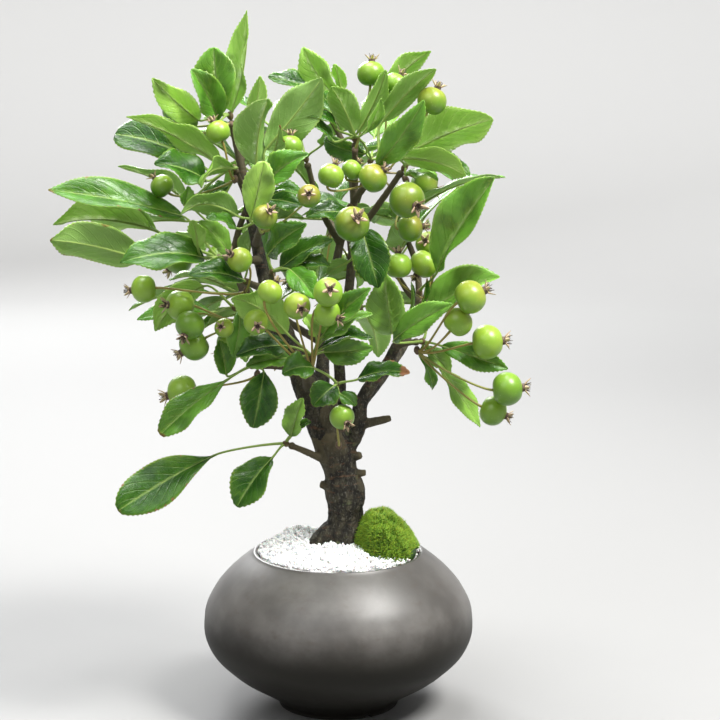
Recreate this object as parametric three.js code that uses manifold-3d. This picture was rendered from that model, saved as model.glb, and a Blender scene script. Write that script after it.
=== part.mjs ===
// A fruiting crabapple bonsai in a round clay pot. Millimetres, +Z up.
// The origin is the middle of the pot's flat foot, and the tree's front faces -Y.
//
// Pieces: the pot, a net over its drain holes, the soil, a mound of gravel, a tuft of moss, the
// wood, and on each spur of the wood a spray of leaves and, where it fruits, a bunch of crabapples.

import * as THREE from "three";
import { mergeVertices } from "three/addons/utils/BufferGeometryUtils.js";
import Module from "manifold-3d";

const wasm = await Module();
wasm.setup();

// ---- driving dimensions ----

const clearance = 0.3; // between pieces that touch
const pot = {
  sides: 28,
  // half widths and heights of the outside, foot to lip, and of the inside, lip to floor
  outside: [[30.5, 0], [31.2, 3], [38.2, 8], [56, 20], [67.2, 34], [67.4, 51.5], [58, 67], [43.5, 79.3]],
  inside: [[40.6, 78.4], [54.5, 64.5], [62.9, 50.5], [62.6, 35.5], [51.8, 22.5], [35.5, 11.5], [28, 7]],
  floor: 7,
  drain: { count: 3, radius: 3.5, from: 14, groove: 3, deep: 1.2 },
};
const net = { radius: 20, thick: 1, hole: 5, pitch: 9 };
const soil = { top: 73.5, bottom: 8.9, setBack: 1 };
const gravel = { edge: 39.9, rimTop: 78.8, crown: 6.7, rings: 6, sides: 24, chip: 0.9 };
const gravelBank = { at: [-22, 13], height: 5, reach: 12 }; // heaped left of the trunk
const moss = {
  at: [25, -4], wide: 16.5, deep: 21, base: 80, height: 20,
  lean: 0.42, // share by which its far right falls below its middle
  rings: 6, sides: 18, tuft: 1.1,
};
const knob = { wood: 2.1, crown: 1.8 }; // radii of a twig's swollen end and of a spray's crown
const petiole = { half: 0.55, reach: 7, short: 14 };
const blade = { thick: 1.2, wave: 0.2, stations: [0.16, 0.44, 0.76], few: [0.28, 0.68], small: 12 };
const fruit = { long: 0.96, stalk: 0.6, sepal: 3.3, waist: 1.3 };

// The tree is set out on a front drawing: a is millimetres to the right and b millimetres up on
// an upright sheet through the trunk, as seen by an eye in front of it and a little above it.
// A third number says how far behind the sheet (+y) the point stands.
const drawing = { middle: [10, 170], aim: [11, 0, 177.6], eyeDistance: 960, pitchDegrees: 9.5 };

// ---- the wood: limbs as points a, b, y and a radius ----

const limbs = {
  trunk: {
    sides: 12,
    points: [
      [3, 64, 1, 10.5], [3, 76, 0, 10.6], [2.6, 84, 0, 9.2], [2.5, 95, 0, 9], [2.6, 104, -1, 10.4],
      [0.5, 114, -1, 8.6], [-3, 126, -2, 9.6], [-9, 140, -3, 8.4], [-16, 155, -4, 7], [-22, 170, -3, 5.8],
      [-30, 188, -2, 4.6], [-37, 208, 0, 3.7], [-42, 230, 2, 3.1], [-46, 250, 2, 2.6], [-50, 270, 1, 2.1],
    ],
  },
  rightBranch: {
    sides: 9,
    points: [
      [2.5, 126, -1, 5.6], [8.5, 136, -4, 4.4], [10.3, 148, -6, 3.6], [15.8, 158, -8, 3.2],
      [24, 169, -10, 2.8], [28, 177, -12, 2.6],
    ],
  },
  middleStem: {
    sides: 8,
    points: [
      [-4, 132, 2, 5], [0, 153, 5, 3.3], [-0.5, 175, 4, 2.8], [4, 202, 2, 2.5], [6, 222, 0, 2.3],
      [7, 250, -4, 2],
    ],
  },
  backBranch: {
    sides: 8,
    points: [[-9, 140, 2, 5], [-9, 158, 16, 4], [-8, 178, 30, 3.2], [-5, 202, 42, 2.7], [0, 228, 50, 2.2]],
  },
  backRight: {
    sides: 7,
    points: [[10, 148, -4, 3.4], [21, 162, 8, 3], [32, 178, 20, 2.6], [40, 198, 29, 2.2]],
  },
  backLeft: {
    sides: 7,
    points: [[-22, 170, -2, 3.6], [-34, 184, 12, 3], [-47, 202, 24, 2.4], [-54, 222, 30, 2]],
  },
  rootLeft: { sides: 6, points: [[0, 88, 0, 5], [-7, 83, -3, 5.2], [-13, 77, -5, 4], [-17, 68, -6, 3]] },
  rootRight: { sides: 5, points: [[4, 84, 0, 5], [11, 78, -3, 4], [17, 70, -4, 2.6], [22, 62, -4, 1.6]] },
  rootBack: { sides: 5, points: [[3, 86, 2, 5], [2, 81, 12, 4], [1, 72, 20, 2.8], [0, 62, 26, 1.8]] },
  cutLeft: { sides: 6, points: [[-2, 107, -1, 4], [-8, 107.5, -3, 2.3], [-9.8, 108, -3.5, 1.9]] },
  cutLow: { sides: 6, points: [[3, 113, -2, 4], [11, 113.5, -4, 1.9], [13, 113.7, -4, 1.6]] },
  cutHigh: { sides: 6, points: [[3, 121, -2, 4], [8.5, 122, -5, 2.3], [10.5, 122.4, -6, 1.9]] },
  stubRight: {
    sides: 6,
    points: [[8.5, 137, -4, 3], [16, 139, -5, 2.4], [22, 140.2, -6, 2.1], [25.5, 141, -6, 1.6]],
  },
};

// ---- the front spurs ----
// twig: points a, b, y, radius, the last of them the spur
// leaves: blade base a, b, y; tip a, b, y; width; turn of its face from the front; bow; fold
// fruits: middle a, b, y; radius; calyx a, b

const frontSpurs = {
  crown_left: {
    twig: [[-50, 270, 1, 2.1], [-52, 279, 0, 1.9], [-54, 288, 0, 1.7]],
    leaves: [
      [-54, 294, 0, -46.5, 345, -4, 24, -45, -3, 38],
      [-59, 293, -5, -63, 326.5, -14, 28, -25, 2, 15],
      [-61, 290, -10, -74.5, 315.5, -24, 20, 22, 3, 25],
      [-71, 290, -6, -94, 311, -18, 19, -10, 4, 25],
    ],
    fruits: [
      [-83, 294.5, 4, 5.6, -83.6, 300.2],
      [-76, 289, -8, 4.8, -77, 295],
    ],
  },
  shoulder_left: {
    twig: [[-46, 250, 2, 2], [-49, 257, -10, 1.7], [-52, 264, -21, 1.5]],
    leaves: [
      [-60, 268, -24, -107, 291.5, -36, 19, 125, 3, 18],
      [-66, 265, -18, -112.5, 283, -30, 30, 40, 5, 14],
      [-67.5, 260, -30, -93, 268, -44, 21, 48, 3, 15],
      [-78, 248, -28, -76, 257, -32, 8, 30, 1, 20],
      [-53, 266, -36, -69, 256, -48, 14, 110, 5, 10],
      [-56, 257, -32, -68, 248.5, -44, 13, 55, 2, 15],
    ],
    fruits: [
      [-89, 257, -22, 5.6, -94, 262.5],
      [-61, 284, -30, 5.8, -65, 292.5],
    ],
  },
  crown_middle_left: {
    twig: [[-46, 250, 2, 2], [-43, 257, -16, 1.7], [-39, 265, -32, 1.5]],
    leaves: [
      [-37, 275.5, -36, -9, 311, -46, 22, 164, 3, 12],
      [-42, 267.5, -38, -36, 300.5, -52, 24, -145, 3, 35],
      [-45.5, 282, -22, -40, 312, -26, 11, 150, 2, 10],
      [-35, 267.5, -42, -30, 287.5, -46, 10, 110, 1, 15],
    ],
    fruits: [[-25, 276.5, -40, 6, -24.5, 285]],
  },
  crown_back_left: {
    twig: [[7, 250, -4, 2], [5, 268, 2, 1.8], [0, 282, 8, 1.6], [-6, 293, 10, 1.5]],
    leaves: [
      [-15.5, 307, 4, -36, 311.5, -2, 14, 55, 0, 15],
      [-1, 301, 8, -18.5, 326.5, 2, 19, -28, 4, 18],
      [1, 304, 14, -3, 318, 10, 8, 150, 1, 10],
      [0, 289, -4, -14, 305, -14, 13, 50, 3, 15],
    ],
    fruits: [],
  },
  crown_middle: {
    twig: [[7, 250, -4, 2], [7.5, 264, -9, 1.8], [7.5, 277, -15, 1.5]],
    leaves: [
      [9, 284, -16, 23, 315, -24, 13, 150, 3, 12],
      [7, 284, -22, -4.5, 306.5, -32, 15, 160, 3, 10],
      [11, 282.5, -26, 20.5, 301, -34, 9, 55, 2, 15],
      [-2, 286, -24, -20, 291, -34, 11, 60, 5, 10],
      [-4, 280, -28, -19, 288.5, -38, 11, 55, 3, 15],
      [12, 273, -10, -8, 280.5, 4, 13, -25, 3, 15],
    ],
    fruits: [[15.5, 313, -4, 6.6, 16, 322]],
  },
  crown_right: {
    twig: [[7, 250, -4, 1.9], [12.5, 257, -17, 1.7], [17.5, 265, -29, 1.5]],
    leaves: [
      [19, 268, -36, 42, 300, -50, 17, 25, 3, 15],
      [21, 289, -22, 48, 315.5, -32, 14, 150, 3, 12],
      [21.5, 303, -14, 45.5, 324.5, -22, 13, 145, 3, 12],
    ],
    fruits: [
      [46, 299.5, -34, 7, 50.5, 310],
      [27.5, 307.5, -28, 6, 32.5, 316],
      [16.5, 261, -44, 7, 22, 265],
      [6, 265, -38, 5, 11.5, 271],
      [-4.5, 262, -50, 6.2, -1, 271.5],
    ],
  },
  shoulder_right: {
    twig: [[6, 230, -1, 2], [18, 246, -7, 1.8], [30, 263, -14, 1.5]],
    leaves: [
      [33, 262.5, -20, 49, 259.5, -30, 12, 60, 3, 15],
      [36, 274.5, -22, 76.5, 290.5, -38, 27, 152, 3, 14],
      [31, 271, -30, 63, 262, -46, 16, 140, 4, 10],
      [40, 270, -16, 65, 262, -26, 15, 60, 4, 12],
    ],
    fruits: [
      [35, 236, -30, 6.6, 43, 237],
      [33.5, 250, -44, 8.6, 38, 246.5],
    ],
  },
  right_upper: {
    twig: [[28, 177, -12, 2.2], [33, 188, -9, 1.8], [38, 200, -6, 1.5]],
    leaves: [
      [48.5, 214, -16, 77.5, 261, -30, 29, -36, 3, 34],
    ],
    fruits: [
      [29, 217, -30, 6.6, 29, 224.5],
      [42, 218, -22, 6.8, 38, 212],
      [44, 228, -10, 6, 42.5, 229],
    ],
  },
  right_middle: {
    twig: [[28, 177, -12, 2], [30, 184, -19, 1.5]],
    leaves: [
      [26, 183.5, -30, 22, 214, -46, 22, -4, 3, 28],
      [32.5, 185, -24, 35.5, 209, -30, 10, 85, 2, 10],
      [34, 183, -20, 43.5, 211, -26, 10, 75, 2, 10],
    ],
    fruits: [],
  },
  right_low: {
    twig: [[28, 177, -12, 2.2], [33, 178.5, -16, 1.8], [38, 179, -21, 1.5]],
    leaves: [
      [45, 195, -14, 80, 211.5, -26, 25, 38, 3, 34],
      [27, 180, -32, 56.5, 198, -46, 15, 30, 3, 15],
      [51, 177, -24, 84, 165.5, -32, 13, 10, 1, 15],
      [40, 172, -30, 46, 155, -38, 10, 50, 2, 15],
      [42, 176, -26, 55, 163, -34, 12, 40, 2, 15],
      [50.5, 165, -14, 70, 136.5, -6, 13, 35, 1, 18],
    ],
    fruits: [
      [65, 201.5, -34, 8, 75, 206],
      [59, 189, -40, 7, 65, 196],
      [73.5, 179, -30, 8.2, 85, 180],
      [83.5, 155.5, -36, 8, 94.5, 156.5],
      [76.5, 144.5, -26, 7, 84.5, 141.5],
    ],
  },
  middle_low: {
    twig: [[-16, 155, -6, 2.6], [-17, 162, -24, 2], [-14.5, 170, -42, 1.5]],
    leaves: [
      [-26.5, 183.5, -60, -54, 201, -84, 21, 150, 6, 12],
      [-12, 182, -60, -18, 193, -68, 10, 20, 1, 35],
      [-8.5, 182.5, -52, 15.5, 206, -64, 14, 30, 3, 15],
      [-8.5, 180, -56, 16.5, 193, -72, 14, 50, 3, 15],
      [-9, 176, -60, 16.5, 181, -76, 13, 62, 3, 15],
      [-26, 177, -38, -52, 172, -46, 16, 40, 3, 12],
      [-8, 174, -50, 16.5, 176, -56, 14, -10, 3, 14],
      [-25, 171, -42, -47, 167, -48, 11, 30, 2, 12],
    ],
    fruits: [
      [-35, 204, -66, 6, -31.5, 209.5],
      [-42, 189, -58, 6, -41, 187],
      [-21.5, 197, -66, 6.5, -19.5, 195.5],
      [-6, 204, -62, 7, -5, 205],
      [-6.5, 193.5, -70, 6.5, -1, 191],
    ],
  },
  low_left: {
    twig: [[-5, 119, -6, 2.6], [-12, 122, -9, 2], [-19, 125, -13, 1.7], [-24, 127, -17, 1.5]],
    leaves: [
      [-62.5, 122.5, -28, -111, 94.5, -50, 25, 24, 3, 14],
      [-34, 121, -26, -51.5, 96.5, -36, 21, -22, 3, 26],
      [-24.5, 132, -20, -18.5, 151, -24, 13, -25, 1, 25],
      [-21, 136, -24, -14.5, 139, -28, 6, 40, 1, 20],
    ],
    fruits: [],
  },
  middle_twig: {
    twig: [[-3, 140, -8, 2.4], [-3, 148, -19, 1.9], [-2, 155, -26, 1.5]],
    leaves: [
      [-3, 157, -34, -13.5, 147, -42, 15, 15, 2, 14],
      [0, 153, -32, 8, 147, -38, 9, 35, 1, 15],
      [9, 160.5, -34, 35, 163.5, -44, 14, 48, 3, 12],
      [-13.5, 166, -54, -29, 163, -60, 15, 35, 3, 12],
    ],
    fruits: [],
  },
  trunk_front: {
    twig: [[-3, 122, -6, 3], [-1.5, 128, -14, 1.9], [-1, 131, -18, 1.5]],
    leaves: [],
    fruits: [[1, 141.5, -36, 6, 3.5, 138.5]],
  },
  left_low: {
    twig: [[-20, 166, -5, 2.4], [-31, 167, -16, 1.9], [-41, 167, -26, 1.5]],
    leaves: [
      [-38, 164, -34, -43.5, 136, -42, 19, 5, 3, 14],
      [-56.5, 160, -32, -90, 132.5, -46, 18, 24, 3, 14],
      [-57, 163, -24, -60.5, 180, -28, 12, 20, 1, 18],
    ],
    fruits: [[-78.5, 154, -26, 8, -88.5, 151.5]],
  },
  left_twig: {
    twig: [[-30, 188, -3, 2.4], [-40, 191, -17, 1.9], [-50, 195, -30, 1.5]],
    leaves: [
      [-68.5, 207, -38, -92.5, 184.5, -50, 18, 150, 6, 12],
      [-65, 194, -22, -101.5, 190, -30, 15, 55, 3, 15],
      [-50, 195, -36, -53.5, 171.5, -34, 12, 25, 2, 15],
    ],
    fruits: [
      [-80, 197.5, -40, 7.2, -86, 197.5],
      [-75, 187.5, -50, 7, -77.5, 182],
      [-73, 177.5, -40, 7.5, -81, 172.5],
      [-58, 186, -44, 4.6, -59, 186.5],
    ],
  },
  left_front: {
    twig: [[-36, 205, -2, 2.4], [-42, 207, -22, 1.9], [-46.5, 209, -42, 1.5]],
    leaves: [
      [-48.5, 210, -52, -76, 212.5, -66, 15, 48, 3, 14],
    ],
    fruits: [
      [-98, 205.5, -48, 6.6, -107, 204.5],
      [-50, 220, -60, 6, -54, 222.5],
    ],
  },
  left_middle: {
    twig: [[-40, 220, 0, 2.2], [-49, 220, -10, 1.9], [-58, 221, -21, 1.5]],
    leaves: [
      [-79, 242, -22, -146, 255, -42, 23, 50, 2, 18],
      [-95, 235.5, -28, -143.5, 237.5, -46, 22, 130, 5, 28],
      [-92, 235, -16, -122, 246, -22, 15, 60, 3, 15],
      [-100, 220.5, -36, -145, 230, -54, 25, 145, 3, 12],
      [-68, 221, -44, -110, 218.5, -62, 23, 42, 5, 14],
      [-71, 226, -48, -73.5, 240, -54, 9, 155, 1, 12],
      [-56, 224, -38, -70.5, 239.5, -50, 13, 28, 2, 15],
    ],
    fruits: [],
  },
  middle_front: {
    twig: [[-42, 228, 2, 2.2], [-41, 232, -24, 1.8], [-39, 239, -47, 1.5]],
    leaves: [
      [-45, 240, -60, -38, 269.5, -72, 15, 8, 3, 10],
      [-36, 256, -54, -15.5, 273, -66, 16, 38, 5, 20],
      [-37, 252, -56, -18, 253, -68, 11, 58, 3, 12],
      [-36, 250, -44, -19, 247, -50, 12, 30, 2, 12],
      [-51, 242, -50, -80, 242.5, -64, 18, 128, 7, 8],
      [-52, 236, -48, -67, 241, -60, 10, 55, 2, 12],
    ],
    fruits: [
      [-37.5, 241.5, -76, 6, -35, 244],
      [-15.5, 252, -70, 5.6, -15.5, 252.5],
    ],
  },
  middle_right: {
    twig: [[6, 222, 0, 2], [5, 232, -18, 1.8], [5, 244, -33, 1.5]],
    leaves: [
      [5, 242.5, -46, -17, 241.5, -62, 13, 45, 3, 12],
      [11, 235, -40, 19, 206, -50, 20, 4, 4, 18],
      [4, 219, -44, -6.5, 213, -50, 8, 150, 1, 12],
    ],
    fruits: [[6, 238, -56, 8.4, 8.5, 240.5]],
  },
  middle_left: {
    twig: [[-36, 205, -2, 2.2], [-35, 208, -22, 1.8], [-34, 213, -38, 1.5]],
    leaves: [
      [-36, 222.5, -46, -16.5, 238, -60, 16, 28, 3, 14],
      [-30, 215, -44, -3.5, 230, -54, 15, 45, 3, 14],
      [-22, 219, -50, -5, 217, -60, 10, 40, 2, 12],
      [-25, 215, -54, -12.5, 200.5, -64, 14, 20, 3, 16],
    ],
    fruits: [],
  },
};

// ---- the spurs at the back and sides, which carry whorls set by a rule ----

const backSpurs = {
  back_low_left: { twig: [[-8, 178, 30, 2.4], [-21, 186, 42, 2], [-32, 194, 50, 1.5]], leaves: 5, fruits: 2 },
  back_low_right: { twig: [[-8, 178, 30, 2.4], [1, 186, 42, 2], [8, 194, 52, 1.5]], leaves: 4, fruits: 0 },
  back_left: { twig: [[-54, 222, 30, 1.9], [-60, 230, 38, 1.7], [-64, 236, 46, 1.5]], leaves: 5, fruits: 2 },
  back_left_high: { twig: [[-54, 222, 30, 1.9], [-49, 240, 34, 1.7], [-42, 256, 34, 1.5]], leaves: 4, fruits: 0 },
  back_middle: { twig: [[0, 228, 50, 2], [-2, 234, 60, 1.7], [-4, 238, 68, 1.5]], leaves: 5, fruits: 3 },
  back_top_left: { twig: [[0, 228, 50, 2], [-10, 246, 50, 1.7], [-16, 267, 44, 1.5]], leaves: 4, fruits: 0 },
  back_top_right: { twig: [[0, 228, 50, 2], [8, 248, 48, 1.7], [14, 266, 46, 1.5]], leaves: 5, fruits: 2 },
  back_right: { twig: [[40, 198, 29, 2], [34, 204, 38, 1.7], [29, 212, 40, 1.5]], leaves: 5, fruits: 0 },
  back_right_high: { twig: [[40, 198, 29, 2], [38, 218, 32, 1.7], [31, 236, 36, 1.5]], leaves: 4, fruits: 0 },
  back_crown: { twig: [[-50, 270, 1, 1.7], [-43, 276, 10, 1.6], [-36, 283, 18, 1.5]], leaves: 3, fruits: 0 },
  side_left: { twig: [[-34, 184, 12, 2.2], [-42, 192, 19, 1.8], [-48, 200, 26, 1.5]], leaves: 4, fruits: 0 },
};
const whorl = {
  turn: THREE.MathUtils.degToRad(137.5),
  lean: [48, 80], // degrees between a petiole and its twig
  petiole: [9, 17],
  blade: [36, 47],
  width: [18, 23],
  droop: 0.3,
  stalk: [22, 32],
  fruitRadius: [6.4, 7.8],
};

// When a leaf or fruit would cross another piece it is bent clear by the first of these steps that
// does it: millimetres in depth on the front spurs, degrees round the twig on the others.
const steps = [0, 4, -4, 8, -8, 12, -12, 16, -16, 20, -20, 24, -24, 28, -28];

// ---- colours and finishes ----

const finishes = {
  clay: { color: 0x4a4542, roughness: 0.5, metalness: 0 },
  net: { color: 0x1f1f1f, roughness: 0.6, metalness: 0 },
  soil: { color: 0x4a3a2b, roughness: 0.95, metalness: 0 },
  gravel: { color: 0xf2f1ee, roughness: 0.7, metalness: 0 },
  moss: { color: 0x4f8a1c, roughness: 0.9, metalness: 0 },
  bark: { color: 0x57483f, roughness: 0.85, metalness: 0 },
  leaf: { color: 0x4c8a2b, roughness: 0.4, metalness: 0 },
  fruit: { color: 0x8fb84a, roughness: 0.35, metalness: 0 },
};

// ---- small helpers ----

const up = new THREE.Vector3(0, 0, 1);

function seededDraw(seed) {
  let state = seed;
  return (low, high) => {
    state = (state * 16807) % 2147483647;
    return low + ((high - low) * state) / 2147483647;
  };
}

// How many times nearer than the sheet a point at depth y lies, and where a drawn point is.
const pitch = THREE.MathUtils.degToRad(drawing.pitchDegrees);
const aim = new THREE.Vector3(...drawing.aim);
const sheetUp = new THREE.Vector3(0, Math.sin(pitch), Math.cos(pitch));
const sight = new THREE.Vector3(0, Math.cos(pitch), -Math.sin(pitch));
const eye = aim.clone().addScaledVector(sight, -drawing.eyeDistance);

function placed(a, b, y) {
  const onSheet = aim.clone().addScaledVector(sheetUp, b - drawing.middle[1]);
  onSheet.x += a - drawing.middle[0];
  const share = (y - eye.y) / (onSheet.y - eye.y);
  const point = eye.clone().lerp(onSheet, share);
  return { point, share };
}

// A closed skin over rings of equally many points. A ring of one point ends it in a tip, and the
// other ends are flat. Facets are split alike on the two faces of a flat section.
function skin(rings) {
  const points = rings.flat();
  const index = [];
  let start = 0;
  for (let i = 0; i + 1 < rings.length; i += 1) {
    const next = start + rings[i].length;
    const count = Math.max(rings[i].length, rings[i + 1].length);
    for (let j = 0; j < count; j += 1) {
      const k = (j + 1) % count;
      if (rings[i].length === 1) index.push(start, next + k, next + j);
      else if (rings[i + 1].length === 1) index.push(start + j, start + k, next);
      else if (j % 2) index.push(start + j, start + k, next + j, start + k, next + k, next + j);
      else index.push(start + j, start + k, next + k, start + j, next + k, next + j);
    }
    start = next;
  }
  for (let j = 1; j + 1 < rings[0].length; j += 1) index.push(0, j + 1, j);
  for (let j = 1; j + 1 < rings.at(-1).length; j += 1) index.push(start, start + j, start + j + 1);
  return solidOf(points.flatMap((p) => [p.x, p.y, p.z]), index);
}

function solidOf(positions, index) {
  const at = (i) => new THREE.Vector3().fromArray(positions, 3 * i);
  let volume = 0;
  for (let i = 0; i < index.length; i += 3) {
    volume += at(index[i]).dot(at(index[i + 1]).cross(at(index[i + 2])));
  }
  const facingOut = volume > 0 ? index : index.toReversed();
  return new wasm.Manifold(
    new wasm.Mesh({
      numProp: 3,
      vertProperties: new Float32Array(positions),
      triVerts: new Uint32Array(facingOut),
    }),
  );
}

function solidFrom(geometry) {
  geometry.deleteAttribute("normal");
  geometry.deleteAttribute("uv");
  const merged = mergeVertices(geometry, 1e-4);
  const all = [...merged.index.array];
  const index = [];
  for (let i = 0; i < all.length; i += 3) {
    const [p, q, r] = all.slice(i, i + 3);
    if (p !== q && q !== r && r !== p) index.push(p, q, r);
  }
  return solidOf([...merged.attributes.position.array], index);
}

// Joins solids in one body, and fills any small hollow that they seal between them.
function joined(solids) {
  const shells = solids.reduce((whole, next) => whole.add(next)).decompose();
  return shells.reduce((most, next) => (next.volume() > most.volume() ? next : most));
}

// The bud that a spray or bunch grows from, with one corner turned to the twig that carries it.
function bud(centre, seat) {
  const towards = seat.clone().sub(centre).normalize();
  const turn = new THREE.Quaternion().setFromUnitVectors(up, towards);
  const shape = new THREE.OctahedronGeometry(knob.crown).applyQuaternion(turn);
  return solidFrom(shape.translate(...centre));
}

function turned(outline, sides) {
  const points = outline.map(([r, z]) => new THREE.Vector2(r, z));
  return solidFrom(new THREE.LatheGeometry(points, sides).rotateX(Math.PI / 2));
}

const bonsai = new THREE.Group();
bonsai.name = "crabapple_bonsai";

function piece(name, solid, finish) {
  const { vertProperties, triVerts } = solid.getMesh();
  const geometry = new THREE.BufferGeometry();
  geometry.setAttribute("position", new THREE.BufferAttribute(vertProperties, 3));
  geometry.setIndex(new THREE.BufferAttribute(triVerts, 1));
  geometry.computeVertexNormals();
  const mesh = new THREE.Mesh(geometry, new THREE.MeshStandardMaterial(finish));
  mesh.name = name;
  bonsai.add(mesh);
}

// ---- pot, net and soil ----

function curveThrough(points, count) {
  const curve = new THREE.SplineCurve(points.map(([r, z]) => new THREE.Vector2(r, z)));
  return curve.getPoints(count).map((p) => [p.x, p.y]);
}

const potInside = curveThrough(pot.inside, 6);

function makePot() {
  const outline = [[0, 0], ...curveThrough(pot.outside, 8), ...potInside, [0, pot.floor]];
  let clay = turned(outline, pot.sides);
  const { count, radius, from, groove, deep } = pot.drain;
  for (let i = 0; i < count; i += 1) {
    const angle = ((i + 0.5) * 2 * Math.PI) / count;
    const hole = new THREE.CylinderGeometry(radius, radius, 4 * pot.floor, 12).rotateX(Math.PI / 2);
    clay = clay.subtract(solidFrom(hole.translate(from, 0, 0).rotateZ(angle)));
    const reach = pot.outside[0][0] - from + 4;
    const slot = new THREE.BoxGeometry(reach, groove, 2 * deep).translate(from + reach / 2, 0, 0);
    clay = clay.subtract(solidFrom(slot.rotateZ(angle)));
  }
  return clay;
}

function makeNet() {
  const disc = new THREE.CylinderGeometry(net.radius, net.radius, net.thick, 18).rotateX(Math.PI / 2);
  let sheet = solidFrom(disc);
  for (const column of [-1, 0, 1]) {
    for (const row of [-1, 0, 1]) {
      const [x, y] = [column * net.pitch, row * net.pitch];
      const hole = new THREE.BoxGeometry(net.hole, net.hole, 3 * net.thick).translate(x, y, 0);
      sheet = sheet.subtract(solidFrom(hole));
    }
  }
  return sheet.translate([0, 0, pot.floor + clearance + net.thick / 2]);
}

// The pot's inside half width at a height, between the points of its outline.
function insideAt(z) {
  const low = potInside.findIndex(([, height]) => height < z);
  const [[r1, z1], [r0, z0]] = [potInside[low - 1], potInside[low]];
  return r0 + ((r1 - r0) * (z - z0)) / (z1 - z0);
}

function makeSoil(woodRoom) {
  const between = potInside.map(([, z]) => z).filter((z) => z > soil.bottom + 1 && z < soil.top - 1);
  const heights = [soil.bottom, ...between.reverse(), soil.top];
  const side = heights.map((z) => [insideAt(z) - soil.setBack, z]);
  return turned([[0, soil.bottom], ...side, [0, soil.top]], pot.sides).subtract(woodRoom);
}

// ---- gravel and moss: mounds on a round plan, raised by a formula ----

function mound({ at, rings, sides, reach, top, floor }) {
  const [cx, cy] = at;
  const layers = [];
  const spread = (share, height) =>
    Array.from({ length: sides }, (_, j) => {
      const angle = (2 * Math.PI * (j + 0.5 * (Math.round(share * rings) % 2))) / sides;
      const r = reach(angle) * share;
      const [x, y] = [cx + r * Math.cos(angle), cy + r * Math.sin(angle)];
      return new THREE.Vector3(x, y, height(x, y, share));
    });
  layers.push([new THREE.Vector3(cx, cy, top(cx, cy, 0))]);
  for (let i = 1; i <= rings; i += 1) layers.push(spread(i / rings, top));
  layers.push(spread(1, () => floor));
  layers.push([new THREE.Vector3(cx, cy, floor)]);
  return skin(layers);
}

function gravelHeight(x, y) {
  const out = Math.hypot(x, y) / gravel.edge;
  const bank = Math.hypot(x - gravelBank.at[0], y - gravelBank.at[1]) / gravelBank.reach;
  const rise = gravel.crown * Math.max(0, 1 - out * out);
  return gravel.rimTop + rise + gravelBank.height * Math.exp(-bank * bank) * Math.min(1, 4 * (1 - out));
}

function makeGravel(woodRoom, mossRoom) {
  const draw = seededDraw(311);
  const body = mound({
    at: [0, 0],
    rings: gravel.rings,
    sides: gravel.sides,
    reach: () => gravel.edge,
    top: (x, y, share) => gravelHeight(x, y) + (share < 1 ? draw(-gravel.chip, gravel.chip) : 0),
    floor: soil.top + clearance,
  });
  return body.subtract(woodRoom).subtract(mossRoom);
}

// The tuft is a dome, highest beside the trunk, that ends inside the pot's lip. Its surface is
// broken into small heads.
function makeMoss(grow) {
  const draw = seededDraw(733);
  const lip = gravel.edge - clearance;
  const [cx, cy] = moss.at;
  const reach = (angle) => {
    const oval = 1 / Math.hypot(Math.cos(angle) / moss.wide, Math.sin(angle) / moss.deep);
    const inward = cx * Math.cos(angle) + cy * Math.sin(angle);
    const toLip = -inward + Math.sqrt(inward * inward + lip * lip - cx * cx - cy * cy);
    return Math.min(oval, toLip) + grow;
  };
  return mound({
    at: moss.at,
    rings: moss.rings,
    sides: moss.sides,
    reach,
    top: (x, y, share) => {
      const dome = Math.sqrt(Math.max(0, 1 - share * share));
      const tuft = share < 1 ? draw(-moss.tuft, moss.tuft) : 0;
      const rise = moss.height * (1 - (moss.lean * (x - cx)) / moss.wide);
      return moss.base - 5 * share * share + rise * dome + tuft + grow;
    },
    floor: soil.top + clearance - (grow > 0 ? 4 : 0),
  });
}

// ---- the wood ----

// A limb through points a, b, y, radius, its rings carried along a smooth path. A twig's end
// swells into a knob, where out gives the way it points.
function limb({ sides, points }, grow, out) {
  const centres = points.map(([a, b, y]) => placed(a, b, y).point);
  const path = new THREE.CatmullRomCurve3(centres, false, "centripetal");
  let along = path.getTangent(0);
  let side = new THREE.Vector3(1, 0, 0).addScaledVector(along, -along.x).normalize();
  const ring = (centre, radius) => {
    const other = along.clone().cross(side);
    return Array.from({ length: sides }, (_, j) => {
      const angle = (2 * Math.PI * j) / sides;
      return centre
        .clone()
        .addScaledVector(side, radius * Math.cos(angle))
        .addScaledVector(other, radius * Math.sin(angle));
    });
  };
  const rings = points.map(([, , , radius], i) => {
    const tangent = path.getTangent(i / (points.length - 1));
    side = side.applyQuaternion(new THREE.Quaternion().setFromUnitVectors(along, tangent));
    along = tangent;
    return ring(centres[i], radius + grow);
  });
  if (out) {
    rings[rings.length - 1] = ring(centres.at(-1), knob.wood);
    rings.push([centres.at(-1).clone().addScaledVector(out, knob.wood)]);
  }
  return skin(rings);
}

// ---- leaves ----

function outline(t) {
  return Math.sin(Math.PI * t ** 0.93) ** (0.55 + 0.3 * t);
}

// A leaf's blade runs from base to tip along a bowed midrib, and its two halves fold and wave.
function makeLeaf({ crown, start, base, tip, face, width, bow, fold, draw }) {
  const chord = tip.clone().sub(base);
  const length = chord.length();
  const along = chord.normalize();
  const normal = face.clone().addScaledVector(along, -face.dot(along)).normalize();
  return { crown, start, base, tip, along, normal, length, width, bow, fold, ...draw };
}

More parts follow.
